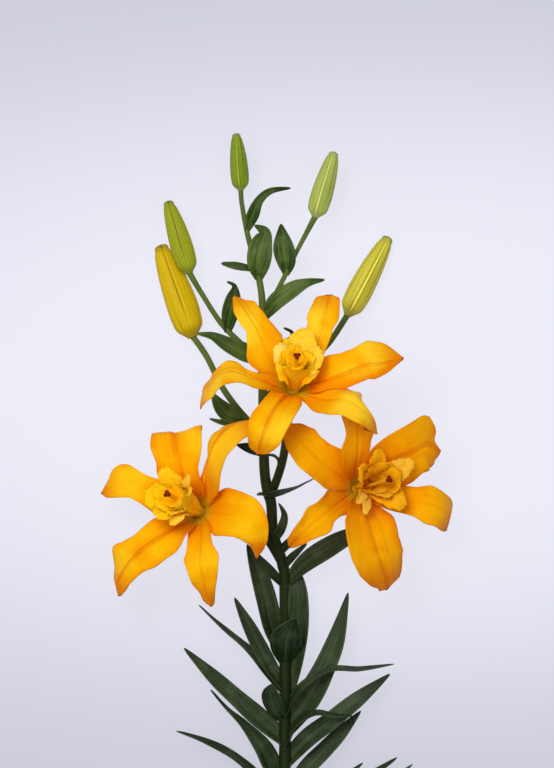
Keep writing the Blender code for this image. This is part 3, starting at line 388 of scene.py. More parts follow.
# Leaves and bracts among the stalks, in the same form
BRACTS = (
    ((0.2, 0, 1), (0, -0.3, 1), (-24.6, 271, 30, 1.8), (-20, 284, 35, 5), (-14.5, 296, 37, 3.6),
     (-5, 303.5, 37, 2.6), (10.5, 305.7, 35, 0.8)),
    ((0, 1, 0.5), (0, 0.8, 0.8), (-15, 235.5, 29, 2.5), (-22, 240, 34, 4.5), (-33, 243, 36, 4.6),
     (-45, 245.5, 34, 1.2)),
    ((0, 0, 1), (0, -0.3, 1), (-15, 233, 29, 3), (-15, 245, 36, 9), (-13.5, 258, 38, 9.5),
     (-10.5, 270, 36, 5), (-18.5, 276, 33, 0.9)),
    ((0, -0.2, 1), (0, 0, 1), (7, 236, 32, 2), (7, 247, 37, 7.5), (4.5, 260, 39, 8),
     (2.8, 277, 36, 0.9)),
    ((-0.2, 0.4, 0.9), (-0.1, 0.3, 0.9), (-11, 201, 28, 3), (-1, 214, 35, 7.5), (13, 224.5, 39, 7),
     (25, 230, 40, 3.5), (37.8, 232, 37, 0.8)),
    ((0.1, 0, 1), (0, 0, 1), (-40, 190, 26, 2.5), (-38.5, 203, 29, 6.5), (-35.5, 216, 31, 6.5),
     (-34.5, 227, 30, 2), (-40.5, 230.7, 29, 0.8)),
    ((0.2, 0.4, 0.9), (0.1, 0.3, 0.9), (-12, 167, 27, 4), (-26, 173, 33, 8), (-40, 180, 36, 6.5),
     (-52, 187, 36, 3.5), (-64.5, 189, 34, 0.9)),
    ((0, 0.3, 0.9), (0, 0.3, 0.9), (-11, 176, 28, 2.5), (2, 180, 36, 3), (10.5, 184.5, 40, 2.6),
     (11.5, 190, 41, 1.5), (5, 193.7, 40, 0.8)),
    ((0.3, 0.2, 0.9), (0.3, 0, 1), (-26, 122, 26, 3), (-38, 124, 31, 7), (-46, 131, 33, 6),
     (-52.5, 142, 32, 1)),
    ((0.3, 0.6, 0.7), (0.2, 0.8, 0.5), (-28, 122, 26, 2), (-42, 117.5, 30, 4), (-54.5, 121, 31, 0.9)),
)

# The leaves below the picture spiral round the stem by the golden angle
LOWER_LEAVES = 9
LOWER_LEAF_FIRST = -200
LOWER_LEAF_STEP = -5.6
LOWER_LEAF_LENGTH = 84
LOWER_LEAF_LEAN = math.radians(63)
GOLDEN_ANGLE = math.radians(137.5)
LOWER_LEAF_START = math.radians(200)
LOWER_LEAF_WIDTHS = ((0, 3), (0.3, 6), (0.65, 6), (1, 0.9))
LOWEST_LEAF = 2.5
LOWER_STEM_X = 5.7


# Curves

def unit(vector):
    return np.asarray(vector, float) / np.linalg.norm(vector)


def curve_value(knots, t):
    """The Catmull-Rom value at t, where knot number i is at t = i."""
    last = len(knots) - 1
    i = min(int(t), last - 1)
    f = t - i
    a, b, c, d = knots[max(i - 1, 0)], knots[i], knots[i + 1], knots[min(i + 2, last)]
    return 0.5 * (2 * b + (c - a) * f + (2 * a - 5 * b + 4 * c - d) * f**2 + (3 * b - a - 3 * c + d) * f**3)


def smooth_line(knots, samples=160):
    """Close samples of the smooth line through the knots, and how far along it each one is, from 0 to 1."""
    knots = np.asarray(knots, float)
    values = np.array([curve_value(knots, (len(knots) - 1) * k / samples) for k in range(samples + 1)])
    steps = np.linalg.norm(np.diff(values[:, :3], axis=0), axis=1)
    reach = np.concatenate([[0], np.cumsum(steps)])
    return values, reach / reach[-1], reach[-1]


def tangents_of(points):
    ways = np.gradient(points, axis=0)
    return ways / np.linalg.norm(ways, axis=1)[:, None]


def carried_sides(tangents, first_side, rolls):
    """A side vector carried along a line without twist, and rolled about it by the given degrees."""
    sides = []
    side = np.asarray(first_side, float)
    for tangent, roll in zip(tangents, np.radians(rolls)):
        side = unit(side - tangent * side.dot(tangent))
        sides.append(side * math.cos(roll) + np.cross(tangent, side) * math.sin(roll))
    return np.array(sides)


def facing_sides(tangents, reach, root_face, tip_face):
    """The sides of a line whose face turns evenly from one hint to the other."""
    faces = np.outer(1 - reach, unit(root_face)) + np.outer(reach, unit(tip_face))
    sides = np.cross(faces, tangents)
    return sides / np.linalg.norm(sides, axis=1)[:, None]


def read_at(stops, reach, table):
    """The rows of a table, read between its samples."""
    return np.stack([np.interp(stops, reach, column) for column in table.T], axis=1)


def ramp(values, low, high):
    """0 below low, 1 above high, and an even S between them."""
    t = np.clip((values - low) / (high - low), 0, 1)
    return t * t * (3 - 2 * t)


def hump(values, middle, width):
    return np.exp(-(((values - middle) / width) ** 2))


def waves(places, seed, layers=4):
    """Smooth unevenness between about -1 and 1: a few sines in seeded directions, each layer finer."""
    draw = np.random.default_rng(seed)
    total = np.zeros(len(places))
    size = 0.0
    for layer in range(layers):
        fineness = 1.8**layer
        for _ in range(2):
            way = unit(draw.normal(size=places.shape[1]))
            total += np.sin(places @ way * fineness * 2 * math.pi + draw.uniform(0, 2 * math.pi)) / fineness
            size += 0.6 / fineness
    return total / size


# Meshes

def finished_mesh(bm, name):
    mesh = bpy.data.meshes.new(name)
    bm.to_mesh(mesh)
    bm.free()
    return mesh


def places_of(mesh):
    places = np.empty(len(mesh.vertices) * 3, np.float32)
    mesh.vertices.foreach_get("co", places)
    return places.reshape(-1, 3).astype(float)


def set_places(mesh, places):
    mesh.vertices.foreach_set("co", (places * MM).astype(np.float32).ravel())
    mesh.update()


def corners_of(mesh):
    corners = np.empty(len(mesh.loops), np.int32)
    mesh.loops.foreach_get("vertex_index", corners)
    return corners


def set_blade_map(mesh, across, along):
    """The UV map called blade: each corner's place across and along, from 0 to 1."""
    uv_map = mesh.uv_layers.new(name="blade")
    uv_map.data.foreach_set("uv", np.stack([across, along], axis=1).astype(np.float32).ravel())


def set_values(mesh, **values):
    """Numbers that a finish reads from the mesh, such as how pale it is or how clear its midrib is."""
    for name, value in values.items():
        layer = mesh.attributes.new(name, "FLOAT", "POINT")
        layer.data.foreach_set("value", np.full(len(mesh.vertices), value, np.float32))


def flat_blade(name, grid):
    """A flat grid with its blade map, and each vertex's place across (-1 to 1) and along (0 to 1)."""
    bm = bmesh.new()
    bmesh.ops.create_grid(bm, x_segments=grid[0], y_segments=grid[1], size=1)
    mesh = finished_mesh(bm, name)
    flat = places_of(mesh)
    corners = corners_of(mesh)
    across, along = flat[:, 0], (flat[:, 1] + 1) / 2
    set_blade_map(mesh, (across[corners] + 1) / 2, along[corners])
    return mesh, across, along


def spun(angle, width, height):
    """Places round the Z axis, at that angle, distance and height."""
    return np.stack([np.cos(angle) * width, np.sin(angle) * width, height], axis=1)


def round_rod(name, grid):
    """A closed straight rod with its blade map, and each vertex's angle and place along."""
    around, steps = grid
    bm = bmesh.new()
    bmesh.ops.create_cone(bm, cap_ends=True, segments=around, radius1=1, radius2=1, depth=1)
    sides = [edge for edge in bm.edges if abs(edge.verts[0].co.z - edge.verts[1].co.z) > 0.5]
    bmesh.ops.subdivide_edges(bm, edges=sides, cuts=steps - 1, use_grid_fill=False)
    mesh = finished_mesh(bm, name)
    flat = places_of(mesh)
    angle = np.arctan2(flat[:, 1], flat[:, 0])
    along = flat[:, 2] + 0.5
    corners = corners_of(mesh)
    turn = (angle[corners] / (2 * math.pi)) % 1
    starts = np.array([face.loop_start for face in mesh.polygons])
    sizes = np.array([face.loop_total for face in mesh.polygons])
    highest = np.repeat(np.maximum.reduceat(turn, starts), sizes)
    turn = np.where((highest - turn > 0.5) & (np.repeat(sizes, sizes) == 4), turn + 1, turn)
    set_blade_map(mesh, turn, along[corners])
    return mesh, angle, along


def merged(name, meshes):
    """One mesh out of several, which keeps their maps."""
    bm = bmesh.new()
    for mesh in meshes:
        bm.from_mesh(mesh)
        bpy.data.meshes.remove(mesh)
    return finished_mesh(bm, name)


def thicken(obj, thickness):
    """Gives an open blade its thickness, half to each side."""
    wall = obj.modifiers.new("Thickness", "SOLIDIFY")
    wall.thickness = thickness * MM
    wall.offset = 0


def new_object(name, data):
    obj = bpy.data.objects.new(name, data)
    bpy.context.scene.collection.objects.link(obj)
    return obj


def piece(name, mesh, finish, slot, *nodes):
    """A finished piece, which stands for the given nodes and rides with the only body."""
    obj = new_object(name, mesh)
    mesh.shade_smooth()
    mesh.materials.append(finish)
    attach(obj, "root")
    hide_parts(*nodes)
    return obj


# Blades

def seen_at(outline, height):
    """An outline as seen in the picture, moved in to where it is for a blade at that height."""
    centre = np.asarray(PICTURE_CENTRE)
    return centre + (outline - centre) * (CAMERA_LEVEL + CAMERA_AWAY - height) / CAMERA_AWAY


def reach_to_outline(origin, way, outline):
    """How far it is from the origin along the way to the outline, or None from outside it."""
    starts = outline - origin
    steps = np.roll(outline, -1, axis=0) - outline
    turn = way[0] * steps[:, 1] - way[1] * steps[:, 0]
    turn = np.where(np.abs(turn) < 1e-9, 1e-9, turn)
    distance = (starts[:, 0] * steps[:, 1] - starts[:, 1] * steps[:, 0]) / turn
    share = (starts[:, 0] * way[1] - starts[:, 1] * way[0]) / turn
    hits = distance[(share >= 0) & (share <= 1) & (distance > 0)]
    return hits.min() if len(hits) % 2 else None


def widths_to_edges(rows, sides, faces, cup, outline, sign):
    """The half width on one side at each row, which takes that side's edge to the outline."""
    widths = rows[:, 3].copy()
    for k, (row, side, face) in enumerate(zip(rows, sides, faces)):
        origin = row[:2] + face[:2] * cup[k] * row[3]
        found = reach_to_outline(origin, side[:2] * sign, seen_at(outline, row[2]))
        if found is not None:
            widths[k] = np.clip(found, row[3] * 0.55, row[3] * 1.4 + 1.5)
    share = ramp(np.linspace(0, 1, len(rows)), 0.24, 0.36)
    widths = widths * share + rows[:, 3] * (1 - share)
    return np.convolve(np.pad(widths, 2, mode="edge"), (0.1, 0.2, 0.4, 0.2, 0.1), mode="valid")


def blade_rows(knots, grid, sides_of):
    """The midrib's place and half width, its side and its face at each row of the grid."""
    values, reach, length = smooth_line(knots)
    sides = sides_of(values, reach)
    stops = np.linspace(0, 1, grid[1] + 1)
    rows = read_at(stops, reach, values[:, :4])
    sides = read_at(stops, reach, sides)
    sides /= np.linalg.norm(sides, axis=1)[:, None]
    tangents = read_at(stops, reach, tangents_of(values[:, :3]))
    return rows, sides, np.cross(tangents, sides), length


def place_blade(mesh, along, rows, sides, faces, sideways, lift):
    """Lays the blade's vertices out beside and above its midrib, both in millimetres."""
    stops = np.linspace(0, 1, len(rows))
    middle = read_at(along, stops, rows[:, :3])
    side = read_at(along, stops, sides)
    face = read_at(along, stops, faces)
    set_places(mesh, middle + side * sideways[:, None] + face * lift[:, None])


def radial(bloom, point):
    """The way from a bloom's axis to a point, and how far out and how high above the seat that point is."""
    axis = unit(bloom["axis"])
    offset = np.asarray(point, float) - bloom["seat"]
    height = offset.dot(axis)
    out = offset - axis * height
    return unit(out), np.linalg.norm(out), height


def on_bloom(bloom, out, distance, height):
    return np.asarray(bloom["seat"], float) + out * distance + unit(bloom["axis"]) * height


def tepal(name, bloom, shape, seed):
    """A tepal from its narrow claw to its recurved tip, with a channelled midrib and waved edges."""
    knots = tuple((*knot, 0)[:5] for knot in shape["midrib"])
    out, _, _ = radial(bloom, knots[0][:3])
    foot = tuple((*on_bloom(bloom, out, *place[:2]), place[2], 0) for place in (TEPAL_ROOT, TEPAL_CLAW))
    first_side = np.cross(unit(bloom["axis"]), out)

    def sides_of(values, reach):
        return carried_sides(tangents_of(values[:, :3]), first_side, values[:, 4])

    rows, sides, faces, length = blade_rows(foot + knots, TEPAL_GRID, sides_of)
    stops = np.linspace(0, 1, len(rows))
    cup = np.interp(stops, (0, 0.5, 1), TEPAL_CUP)
    outline = np.asarray(shape["edges"], float)
    left = widths_to_edges(rows, sides, faces, cup, outline, -1)
    right = widths_to_edges(rows, sides, faces, cup, outline, 1)
    mesh, across, along = flat_blade(name, TEPAL_GRID)
    width = np.where(across < 0, np.interp(along, stops, left), np.interp(along, stops, right))
    width *= np.clip((1 - along) / shape.get("blunt", 0.035), 0.05, 1) ** 0.5
    off = np.abs(across)
    lift = np.interp(along, stops, cup * rows[:, 3]) * off**1.6
    drop = np.where(across < 0, *shape.get("drops", (0, 0)))
    lift -= drop * off**1.5 * ramp(along, 0.2, 0.45) * (1 - ramp(along, 0.75, 0.95))
    middle = shape.get("middle", 0) * ramp(along, 0.1, 0.35)
    from_rib = np.abs(across - middle)
    channel = ramp(along, 0.0, 0.15) * (1 - 0.6 * ramp(along, 0.6, 1)) * (0.35 + 0.65 * shape["rib"])
    lift += channel * (0.8 * hump(from_rib, 0.22, 0.15) - 0.9 * hump(from_rib, 0, 0.06))
    ruffles = np.stack([along * length / 42, np.sign(across) * 3.7], axis=1)
    swells = np.stack([across * 0.45, along * 1.6], axis=1)
    lift += ramp(along, 0.25, 0.5) * off**3 * 1.5 * waves(ruffles, seed, 3)
    lift += ramp(along, 0.15, 0.4) * 0.9 * waves(swells, seed + 50, 2)
    if "reflex" in shape:
        side, start, low, high, drop = shape["reflex"]
        bend = np.clip((across * side - start) / (1 - start), 0, 1) ** 1.5
        lift -= drop * bend * ramp(along, low - 0.15, low + 0.1) * (1 - ramp(along, high, high + 0.1))
    place_blade(mesh, along, rows, sides, faces, across * width, lift)
    for side, start, reach, spread, shift in shape.get("corners", ()):
        pull = ramp(across * side, start, 1) * hump(along, reach, spread)
        set_places(mesh, places_of(mesh) / MM + pull[:, None] * np.asarray(shift, float))
    set_values(
        mesh, tone=(seed * 0.37) % 1, rib=shape["rib"], middle=shape.get("middle", 0),
        foot=shape.get("foot", 0.5), end=shape.get("end", 0.6), shade=shape.get("shade", 0),
    )
    return mesh


def petaloid(name, bloom, shape, seed):
    """A softly crumpled petaloid, which climbs beside the style and flares out to its rounded tip."""
    *tip, half_width, paleness = shape
    out, distance, height = radial(bloom, tip)
    near, low = PETALOID_ROOT
    knots = []
    bend = float(np.clip((distance - UPRIGHT_WITHIN) / UPRIGHT_WITHIN, 0, 1))
    for f, width in PETALOID_WIDTHS:
        spread = near + (distance - near) * (f + bend * 0.7 * (f**PETALOID_FLARE - f))
        climb = low + (height - low) * (f + bend * (1 - f - (1 - f) ** PETALOID_CLIMB))
        knots.append((*on_bloom(bloom, out, spread, climb), half_width * width))
    first_side = np.cross(unit(bloom["axis"]), out)

    def sides_of(values, reach):
        return carried_sides(tangents_of(values[:, :3]), first_side, np.zeros(len(values)))

    rows, sides, faces, length = blade_rows(knots, PETALOID_GRID, sides_of)
    stops = np.linspace(0, 1, len(rows))
    cup = np.interp(stops, (0, 0.5, 1), PETALOID_CUP)
    cup += (1 - bend) * np.interp(stops, (0, 0.5, 1), UPRIGHT_CUP)
    mesh, across, along = flat_blade(name, PETALOID_GRID)
    off = np.abs(across)
    flat = np.stack([across * half_width / 14, along * length / 26], axis=1)
    rag = waves(np.stack([along * length / 9, np.sign(across) * 5.3], axis=1), seed, 3)
    width = np.interp(along, stops, rows[:, 3]) * (1 + 0.1 * rag * ramp(along, 0.35, 0.7))
    lift = np.interp(along, stops, cup * rows[:, 3]) * off**1.8
    lift += ramp(along, 0.15, 0.6) * 0.9 * waves(flat, seed + 20, 2)
    lift += ramp(along, 0.3, 0.8) * off**3 * waves(flat * 2.3, seed + 40, 2)
    rounded = 0.16 * (1 - np.sqrt(np.clip(1 - (off * 0.96) ** 2.4, 0, 1)))
    nibbled = 0.035 * waves(across[:, None] * 1.6, seed + 80, 3) * (1 - off)
    place_blade(mesh, along * (1 - (rounded + nibbled) * along**4), rows, sides, faces, across * width, lift)
    set_values(mesh, tone=paleness)
    return mesh


def leaf(name, seed, root_face, tip_face, *knots):
    """A narrow leaf with a channel along its midrib and a slow wave along its edges."""
    def sides_of(values, reach):
        return facing_sides(tangents_of(values[:, :3]), reach, root_face, tip_face)

    rows, sides, faces, length = blade_rows(knots, LEAF_GRID, sides_of)
    stops = np.linspace(0, 1, len(rows))
    cup = np.interp(stops, (0, 0.5, 1), LEAF_CUP)
    mesh, across, along = flat_blade(name, LEAF_GRID)
    off = np.abs(across)
    width = np.interp(along, stops, rows[:, 3]) * np.clip((1 - along) / 0.03, 0.1, 1) ** 0.5
    lift = np.interp(along, stops, cup * rows[:, 3]) * off**1.25
    lift -= 0.35 * hump(off, 0, 0.12) * (1 - ramp(along, 0.7, 1))
    ruffles = np.stack([along * length / 60, np.sign(across) * 2.9], axis=1)
    lift += 0.5 * ramp(along, 0.1, 0.4) * off**2 * waves(ruffles, seed, 2)
    place_blade(mesh, along, rows, sides, faces, across * width, lift)
    set_values(mesh, tone=(seed * 0.43) % 1)
    return mesh


def lower_leaf(number):
    """One leaf of the spiral, in the form of the tables, bent aside where the surface is in its way."""
    y = LOWER_LEAF_FIRST + LOWER_LEAF_STEP * number
    turn = LOWER_LEAF_START + GOLDEN_ANGLE * number
    way = np.array((math.cos(turn), 0, math.sin(turn) * 0.5))
    height = float(np.interp(y, [knot[1] for knot in STEM], [knot[2] for knot in STEM]))
    sideways = math.copysign(1.2 - abs(way[0]), way[0]) if way[2] < 0 else 0
    knots = []
    for f, half_width in LOWER_LEAF_WIDTHS:
        length = LOWER_LEAF_LENGTH * f
        out = way * length * math.sin(LOWER_LEAF_LEAN)
        x = LOWER_STEM_X + out[0] + sideways * length * 0.5
        z = max(height + out[2], LOWEST_LEAF + 3 * (1 - f))
        knots.append((x, y + length * math.cos(LOWER_LEAF_LEAN), z, half_width))
    return (-way[0] * 0.3, 0.5, 0.8), (0, 0.6, 0.8), *knots


# Rods, buds and the heart of a bloom

def rod(name, knots, grid, flute=0.0, seed=0):
    """A round rod along a smooth line, whose map's seam runs along its underside. Column 3 is its radius."""
    values, reach, length = smooth_line(knots, 400)
    tangents = tangents_of(values[:, :3])
    sides = carried_sides(tangents, np.cross((0, 0, 1), tangents[0]), np.zeros(len(values)))
    ups = np.cross(tangents, sides)
    mesh, angle, along = round_rod(name, grid)
    middle = read_at(along, reach, values)
    side = read_at(along, reach, sides)
    up = read_at(along, reach, ups)
    radius = middle[:, 3] * (1 + flute * np.cos(5 * angle + along * length / 40))
    radius *= 1 + 0.02 * waves(spun(angle, 1, along * length / 25), seed, 3)
    ring = side * np.sin(angle)[:, None] - up * np.cos(angle)[:, None]
    set_places(mesh, middle[:, :3] + ring * radius[:, None])
    return mesh


def stalk_knots(name):
    """A stalk runs straight for its last stretch under a bloom, and bends smoothly into a bud."""
    if name in BUDS:
        base, tip, _ = BUDS[name]
        foot = np.asarray(base, float) + unit(np.subtract(tip, base))
        return STALKS[name] + ((*foot, BUD_FOOT),)
    seat, way = np.asarray(BLOOMS[name]["seat"], float), unit(BLOOMS[name]["axis"])
    return STALKS[name] + tuple((*(seat - way * below), radius) for below, radius in STRAIGHT_END)


def across_ways(axis):
    """The two ways across an axis that shapes made along +Z have their +X and +Y turned to."""
    axis = unit(axis)
    third = unit(np.cross(axis, (1, 0, 0)))
    return np.cross(third, axis), third


def turned_to(places, axis, place):
    """Places made along +Z, turned to an axis and moved to a place."""
    return np.asarray(place, float) + places @ np.stack([*across_ways(axis), unit(axis)])


def bud_mesh(name, base, tip, radius, turn, seed):
    """Three outer tepals closed round each other: a keel on each, grooves along the seams, a lobed tip.

    One keel is turned from the side that looks up by the given degrees.
    """
    mesh, angle, along = round_rod(name, BUD_GRID)
    length = math.dist(base, tip)
    place = along * 0.6 + 0.2 * (1 - np.cos(math.pi * along))
    knots = np.asarray(BUD_OUTLINE)[:, None]
    smooth = np.array([curve_value(knots, (len(knots) - 1) * k / 100)[0] for k in range(101)])
    width = np.interp(place, np.linspace(0, 1, 101), smooth) * radius
    width *= 1 + 0.4 * ramp(place, 0.93, 1)
    width *= np.sqrt(np.clip(1 - (np.clip(place - 0.965, 0, 1) / 0.0352) ** 2, 0.01, 1))
    swell = np.sin(math.pi * place)
    third = (np.degrees(angle) + 60) % 120 - 60
    to_seam = 60 - np.abs(third)
    width *= 1 + BUD_RIDGE * np.cos(3 * angle) * swell
    ribs = 0.02 * hump(third, 0, 4) - 0.02 * hump(np.abs(third), 9, 3)
    seams = 0.012 * hump(to_seam, 0, 5) - 0.05 * hump(third, 49, 2.6) - 0.015 * hump(third, -49, 2.6)
    width *= 1 + swell**0.5 * (ribs + seams)
    width *= 1 - 0.05 * hump(np.abs(third), 13, 4) * (1 - ramp(place, 0.1, 0.3)) * ramp(place, 0, 0.06)
    width *= 1 - 0.16 * ramp(place, 0.9, 1) * hump(to_seam, 0, 18)
    width *= 1 + 0.008 * waves(spun(angle, 1.5, along * 2), seed, 3)
    height = place * length - 1.8 * ramp(place, 0.9, 1) * hump(to_seam, 0, 20)
    axis = np.subtract(tip, base)
    across, third_way = across_ways(axis)
    turned = angle + math.atan2(third_way[2], across[2]) + math.radians(turn - 120)
    places = turned_to(spun(turned, width, height), axis, base)
    places[:, 2] = np.maximum(places[:, 2], 0.02)
    set_places(mesh, places)
    return mesh


def receptacle_mesh(name, bloom):
    """The swollen top of the stalk, which the claws grow from, and the fleshy collar inside them."""
    mesh, angle, along = round_rod(name, RECEPTACLE_GRID)
    width = np.interp(along, *zip(*RECEPTACLE_WIDTHS)) * (1 + 0.05 * np.cos(6 * angle))
    set_places(mesh, turned_to(spun(angle, width, along * COLLAR_HEIGHT), bloom["axis"], bloom["seat"]))
    return mesh


def core_mesh(name, bloom):
    """The innermost petaloids, packed into one folded cup round the style."""
    mesh, angle, along = round_rod(name, CORE_GRID)
    high, wide, back = bloom["core"]
    stops, widths, heights = zip(*CORE_OUTLINE)
    width = np.interp(along, stops, widths) * wide
    height = np.interp(along, stops, heights) * high
    folds = np.cos(5 * angle + 0.9 * np.sin(3 * angle + 1))
    width *= 1 + ramp(along, 0.15, 0.55) * 0.1 * folds
    height += hump(along, 0.66, 0.2) * 0.05 * folds * high
    places = turned_to(spun(angle, width, height), bloom["axis"], bloom["seat"])
    away = unit(np.subtract(bloom["axis"], (0, 0, unit(bloom["axis"])[2])))
    places += (ramp(along, 0.1, 0.55) * back)[:, None] * away
    set_places(mesh, places)
    set_values(mesh, tone=CORE_TONE)
    return mesh


def pistil_mesh(name, bloom):
    """The ovary, and the style that carries on from it to the stigma."""
    low = RECEPTACLE_HEIGHT + SEAT_GAP
    foot = on_bloom(bloom, np.zeros(3), 0, low)
    waist = on_bloom(bloom, np.zeros(3), 0, low + OVARY_LENGTH)
    top = np.asarray(bloom["stigma"], float) - unit(bloom["axis"]) * (STIGMA_DEPTH + SEAT_GAP)
    middle = (waist + top) / 2
    knots = (
        (*foot, OVARY_RADIUS), (*((foot * 2 + waist) / 3), OVARY_RADIUS * 1.05), (*waist, STYLE_RADIUS),
        (*middle, STYLE_RADIUS), (*top, STYLE_RADIUS * 1.5),
    )
    return rod(name, knots, (24, 60), flute=0.03)


def stigma_mesh(name, bloom):
    """Three round lobes with a furrow along each and a dip between them."""
    bm = bmesh.new()
    bmesh.ops.create_uvsphere(bm, u_segments=60, v_segments=30, radius=1)
    mesh = finished_mesh(bm, name)
    ball = places_of(mesh)
    angle = np.arctan2(ball[:, 1], ball[:, 0])
    flat = np.hypot(ball[:, 0], ball[:, 1])
    from_lobe = np.radians((np.degrees(angle) + 60) % 120 - 60)
    out, size = LOBE
    lobes = out * np.cos(from_lobe) + np.sqrt(size**2 - (out * np.sin(from_lobe)) ** 2)
    top = ramp(ball[:, 2], 0, 0.6)
    furrow = top * (0.22 * hump(flat, 0, 0.35) + 0.16 * hump(from_lobe, 0, 0.08) * ramp(flat, 0, 0.5))
    places = ball * (lobes * (1 + 0.05 * waves(ball * 2.4, 5, 3)))[:, None]
    places[:, 2] = (ball[:, 2] - furrow) * STIGMA_DEPTH
    turn = math.radians(bloom["stigma_turn"])
    places[:, :2] = places[:, :2] @ ((math.cos(turn), math.sin(turn)), (-math.sin(turn), math.cos(turn)))
    set_places(mesh, turned_to(places, bloom["axis"], bloom["stigma"]))
    return mesh


# Shader nodes

class Look:
    """The nodes of a material or group. What goes into one is a socket, which is linked, or a value."""

    def __init__(self, tree):
        self.tree = tree

    def node(self, kind, inputs=None, **settings):
        """The outputs of a new node, with its settings made and its inputs filled."""
        made = self.tree.nodes.new(kind)
        for key, value in settings.items():
            setattr(made, key, value)
        for key, value in (inputs or {}).items():
            if isinstance(value, bpy.types.NodeSocket):
                self.tree.links.new(value, made.inputs[key])
            else:
                made.inputs[key].default_value = value
        return made.outputs

    def sums(self, operation, *values):
        return self.node("ShaderNodeMath", dict(enumerate(values)), operation=operation)[0]

    def times(self, first, second):
        return self.sums("MULTIPLY", first, second)

    def times_plus(self, first, second, third):
        return self.sums("MULTIPLY_ADD", first, second, third)

    def plus(self, first, second):
        return self.sums("ADD", first, second)

    def less(self, first, second):
        return self.sums("SUBTRACT", first, second)

    def larger(self, first, second):
        return self.sums("MAXIMUM", first, second)

    def total(self, *weighted):
        """The sum of values that each come with a weight."""
        (value, weight), *others = weighted
        made = self.times(value, weight)
        for value, weight in others:
            made = self.times_plus(value, weight, made)
        return made

    def apart(self, first, second):
        """How far two values are from each other."""
        return self.sums("ABSOLUTE", self.less(first, second))

    def step(self, value, low, high, start=0.0, end=1.0):
        """An even S from start to end as the value goes from low to high."""
        inputs = {0: value, 1: low, 2: high, 3: start, 4: end}
        return self.node("ShaderNodeMapRange", inputs, interpolation_type="SMOOTHSTEP")[0]

    def mix(self, share, first, second, blend="MIX"):
        """The first colour turned towards the second by the share."""
        first, second = ((*c, 1) if isinstance(c, tuple) else c for c in (first, second))
        inputs = {0: share, 6: first, 7: second}
        return self.node("ShaderNodeMix", inputs, data_type="RGBA", blend_type=blend)[2]

    def layers(self, colour, *laid):
        """A colour with others laid over it, each by its own share."""
        for share, over in laid:
            colour = self.mix(share, colour, over)
        return colour

    def value(self, name):
        """The number of that name on the mesh."""
        return self.node("ShaderNodeAttribute", attribute_name=name)["Fac"]

    def place(self):
        return self.node("ShaderNodeTexCoord")["Object"]

    def blade(self):
        """How far across and how far along its blade a point is, from 0 to 1."""
        split = self.node("ShaderNodeSeparateXYZ", {0: self.node("ShaderNodeUVMap", uv_map="blade")[0]})
        return split[0], split[1]

    def off_middle(self, across):
        """0 on a blade's middle line and 1 at both edges."""
        return self.times(self.apart(across, 0.5), 2.0)

    def noise(self, place, scale, detail=3.0):
        return self.node("ShaderNodeTexNoise", {"Vector": place, "Scale": scale, "Detail": detail})["Fac"]

    def cells(self, scale):
        """How far a point is from the nearest of many scattered ones."""
        return self.node("ShaderNodeTexVoronoi", {"Vector": self.place(), "Scale": scale})["Distance"]

    def group(self, group, **values):
        """The outputs of a node group that is placed here with its own values."""
        inputs = {key.replace("_", " "): value for key, value in values.items()}
        return self.node("ShaderNodeGroup", inputs, node_tree=group)

    def relief(self, height, depth):
        """A bump whose full height is the given depth in millimetres."""
        return self.node("ShaderNodeBump", {"Height": height, "Strength": 1.0, "Distance": depth * MM})[0]

    def surface(self, colour, height, depth, roughness):
        self.finish(Base_Color=colour, Normal=self.relief(height, depth), Roughness=roughness)

    def finish(self, **links):
        """Joins sockets to the material's Principled shader."""
        shader = self.tree.nodes["Principled BSDF"]
        for key, socket in links.items():
            self.tree.links.new(socket, shader.inputs[key.replace("_", " ")])


def new_finish(name, **plain):
    """A material and its nodes, with the sockets that are the same all over."""
    made = bpy.data.materials.new(name)
    made.use_nodes = True
    shader = made.node_tree.nodes["Principled BSDF"]
    for key, value in plain.items():
        shader.inputs[key.replace("_", " ")].default_value = value
    return made, Look(made.node_tree)


def group_with(name, inputs, outputs):
    """A new node group, its look, and where its given values come from and its results go."""
    tree = bpy.data.node_groups.new(name, "ShaderNodeTree")
    for label, value in inputs.items():
        socket = tree.interface.new_socket(label, in_out="INPUT", socket_type="NodeSocketFloat")
        socket.default_value = value
    for label in outputs:
        tree.interface.new_socket(label, in_out="OUTPUT", socket_type="NodeSocketFloat")
    given = tree.nodes.new("NodeGroupInput").outputs
    return tree, Look(tree), given, tree.nodes.new("NodeGroupOutput").inputs


def vein_group():
    """Fine lines that run along a blade or a bud: Lines is 1 on a vein, and Mottle is soft unevenness."""
    values = {"Count": 30.0, "Wander": 0.02, "Sharpness": 3.0}
    tree, look, given, made = group_with("Long veins", values, ("Lines", "Mottle"))
    across, along = look.blade()
    place = look.node("ShaderNodeCombineXYZ", {0: look.times(across, 7.0), 1: look.times(along, 3.0)})[0]
    drift = look.less(look.noise(place, 1.3, 2.0), 0.5)
    moved = look.plus(across, look.times(drift, given["Wander"]))
    wave = look.sums("SINE", look.times(look.times(moved, given["Count"]), 2 * math.pi))
    lifted = look.times_plus(wave, 0.5, 0.5)
    tree.links.new(look.sums("POWER", lifted, given["Sharpness"]), made["Lines"])
    streaked = {0: look.times(across, given["Count"]), 1: look.times(along, 2.5)}
    place = look.node("ShaderNodeCombineXYZ", streaked)[0]
    tree.links.new(look.noise(place, 0.6, 4.0), made["Mottle"])
    return tree


def skin_group():
    """The fine grain of a plant's skin: Grain is its relief, and Patches is broad unevenness."""
    values = {"Grain Scale": 1400.0, "Patch Scale": 45.0}
    tree, look, given, made = group_with("Plant skin", values, ("Grain", "Patches"))
    place = look.place()
    tree.links.new(look.noise(place, given["Grain Scale"], 2.0), made["Grain"])
    tree.links.new(look.noise(place, given["Patch Scale"], 3.0), made["Patches"])
    return tree


# Finishes

GOLDEN_GLOSS = (1.0, 0.68, 0.18, 1.0)
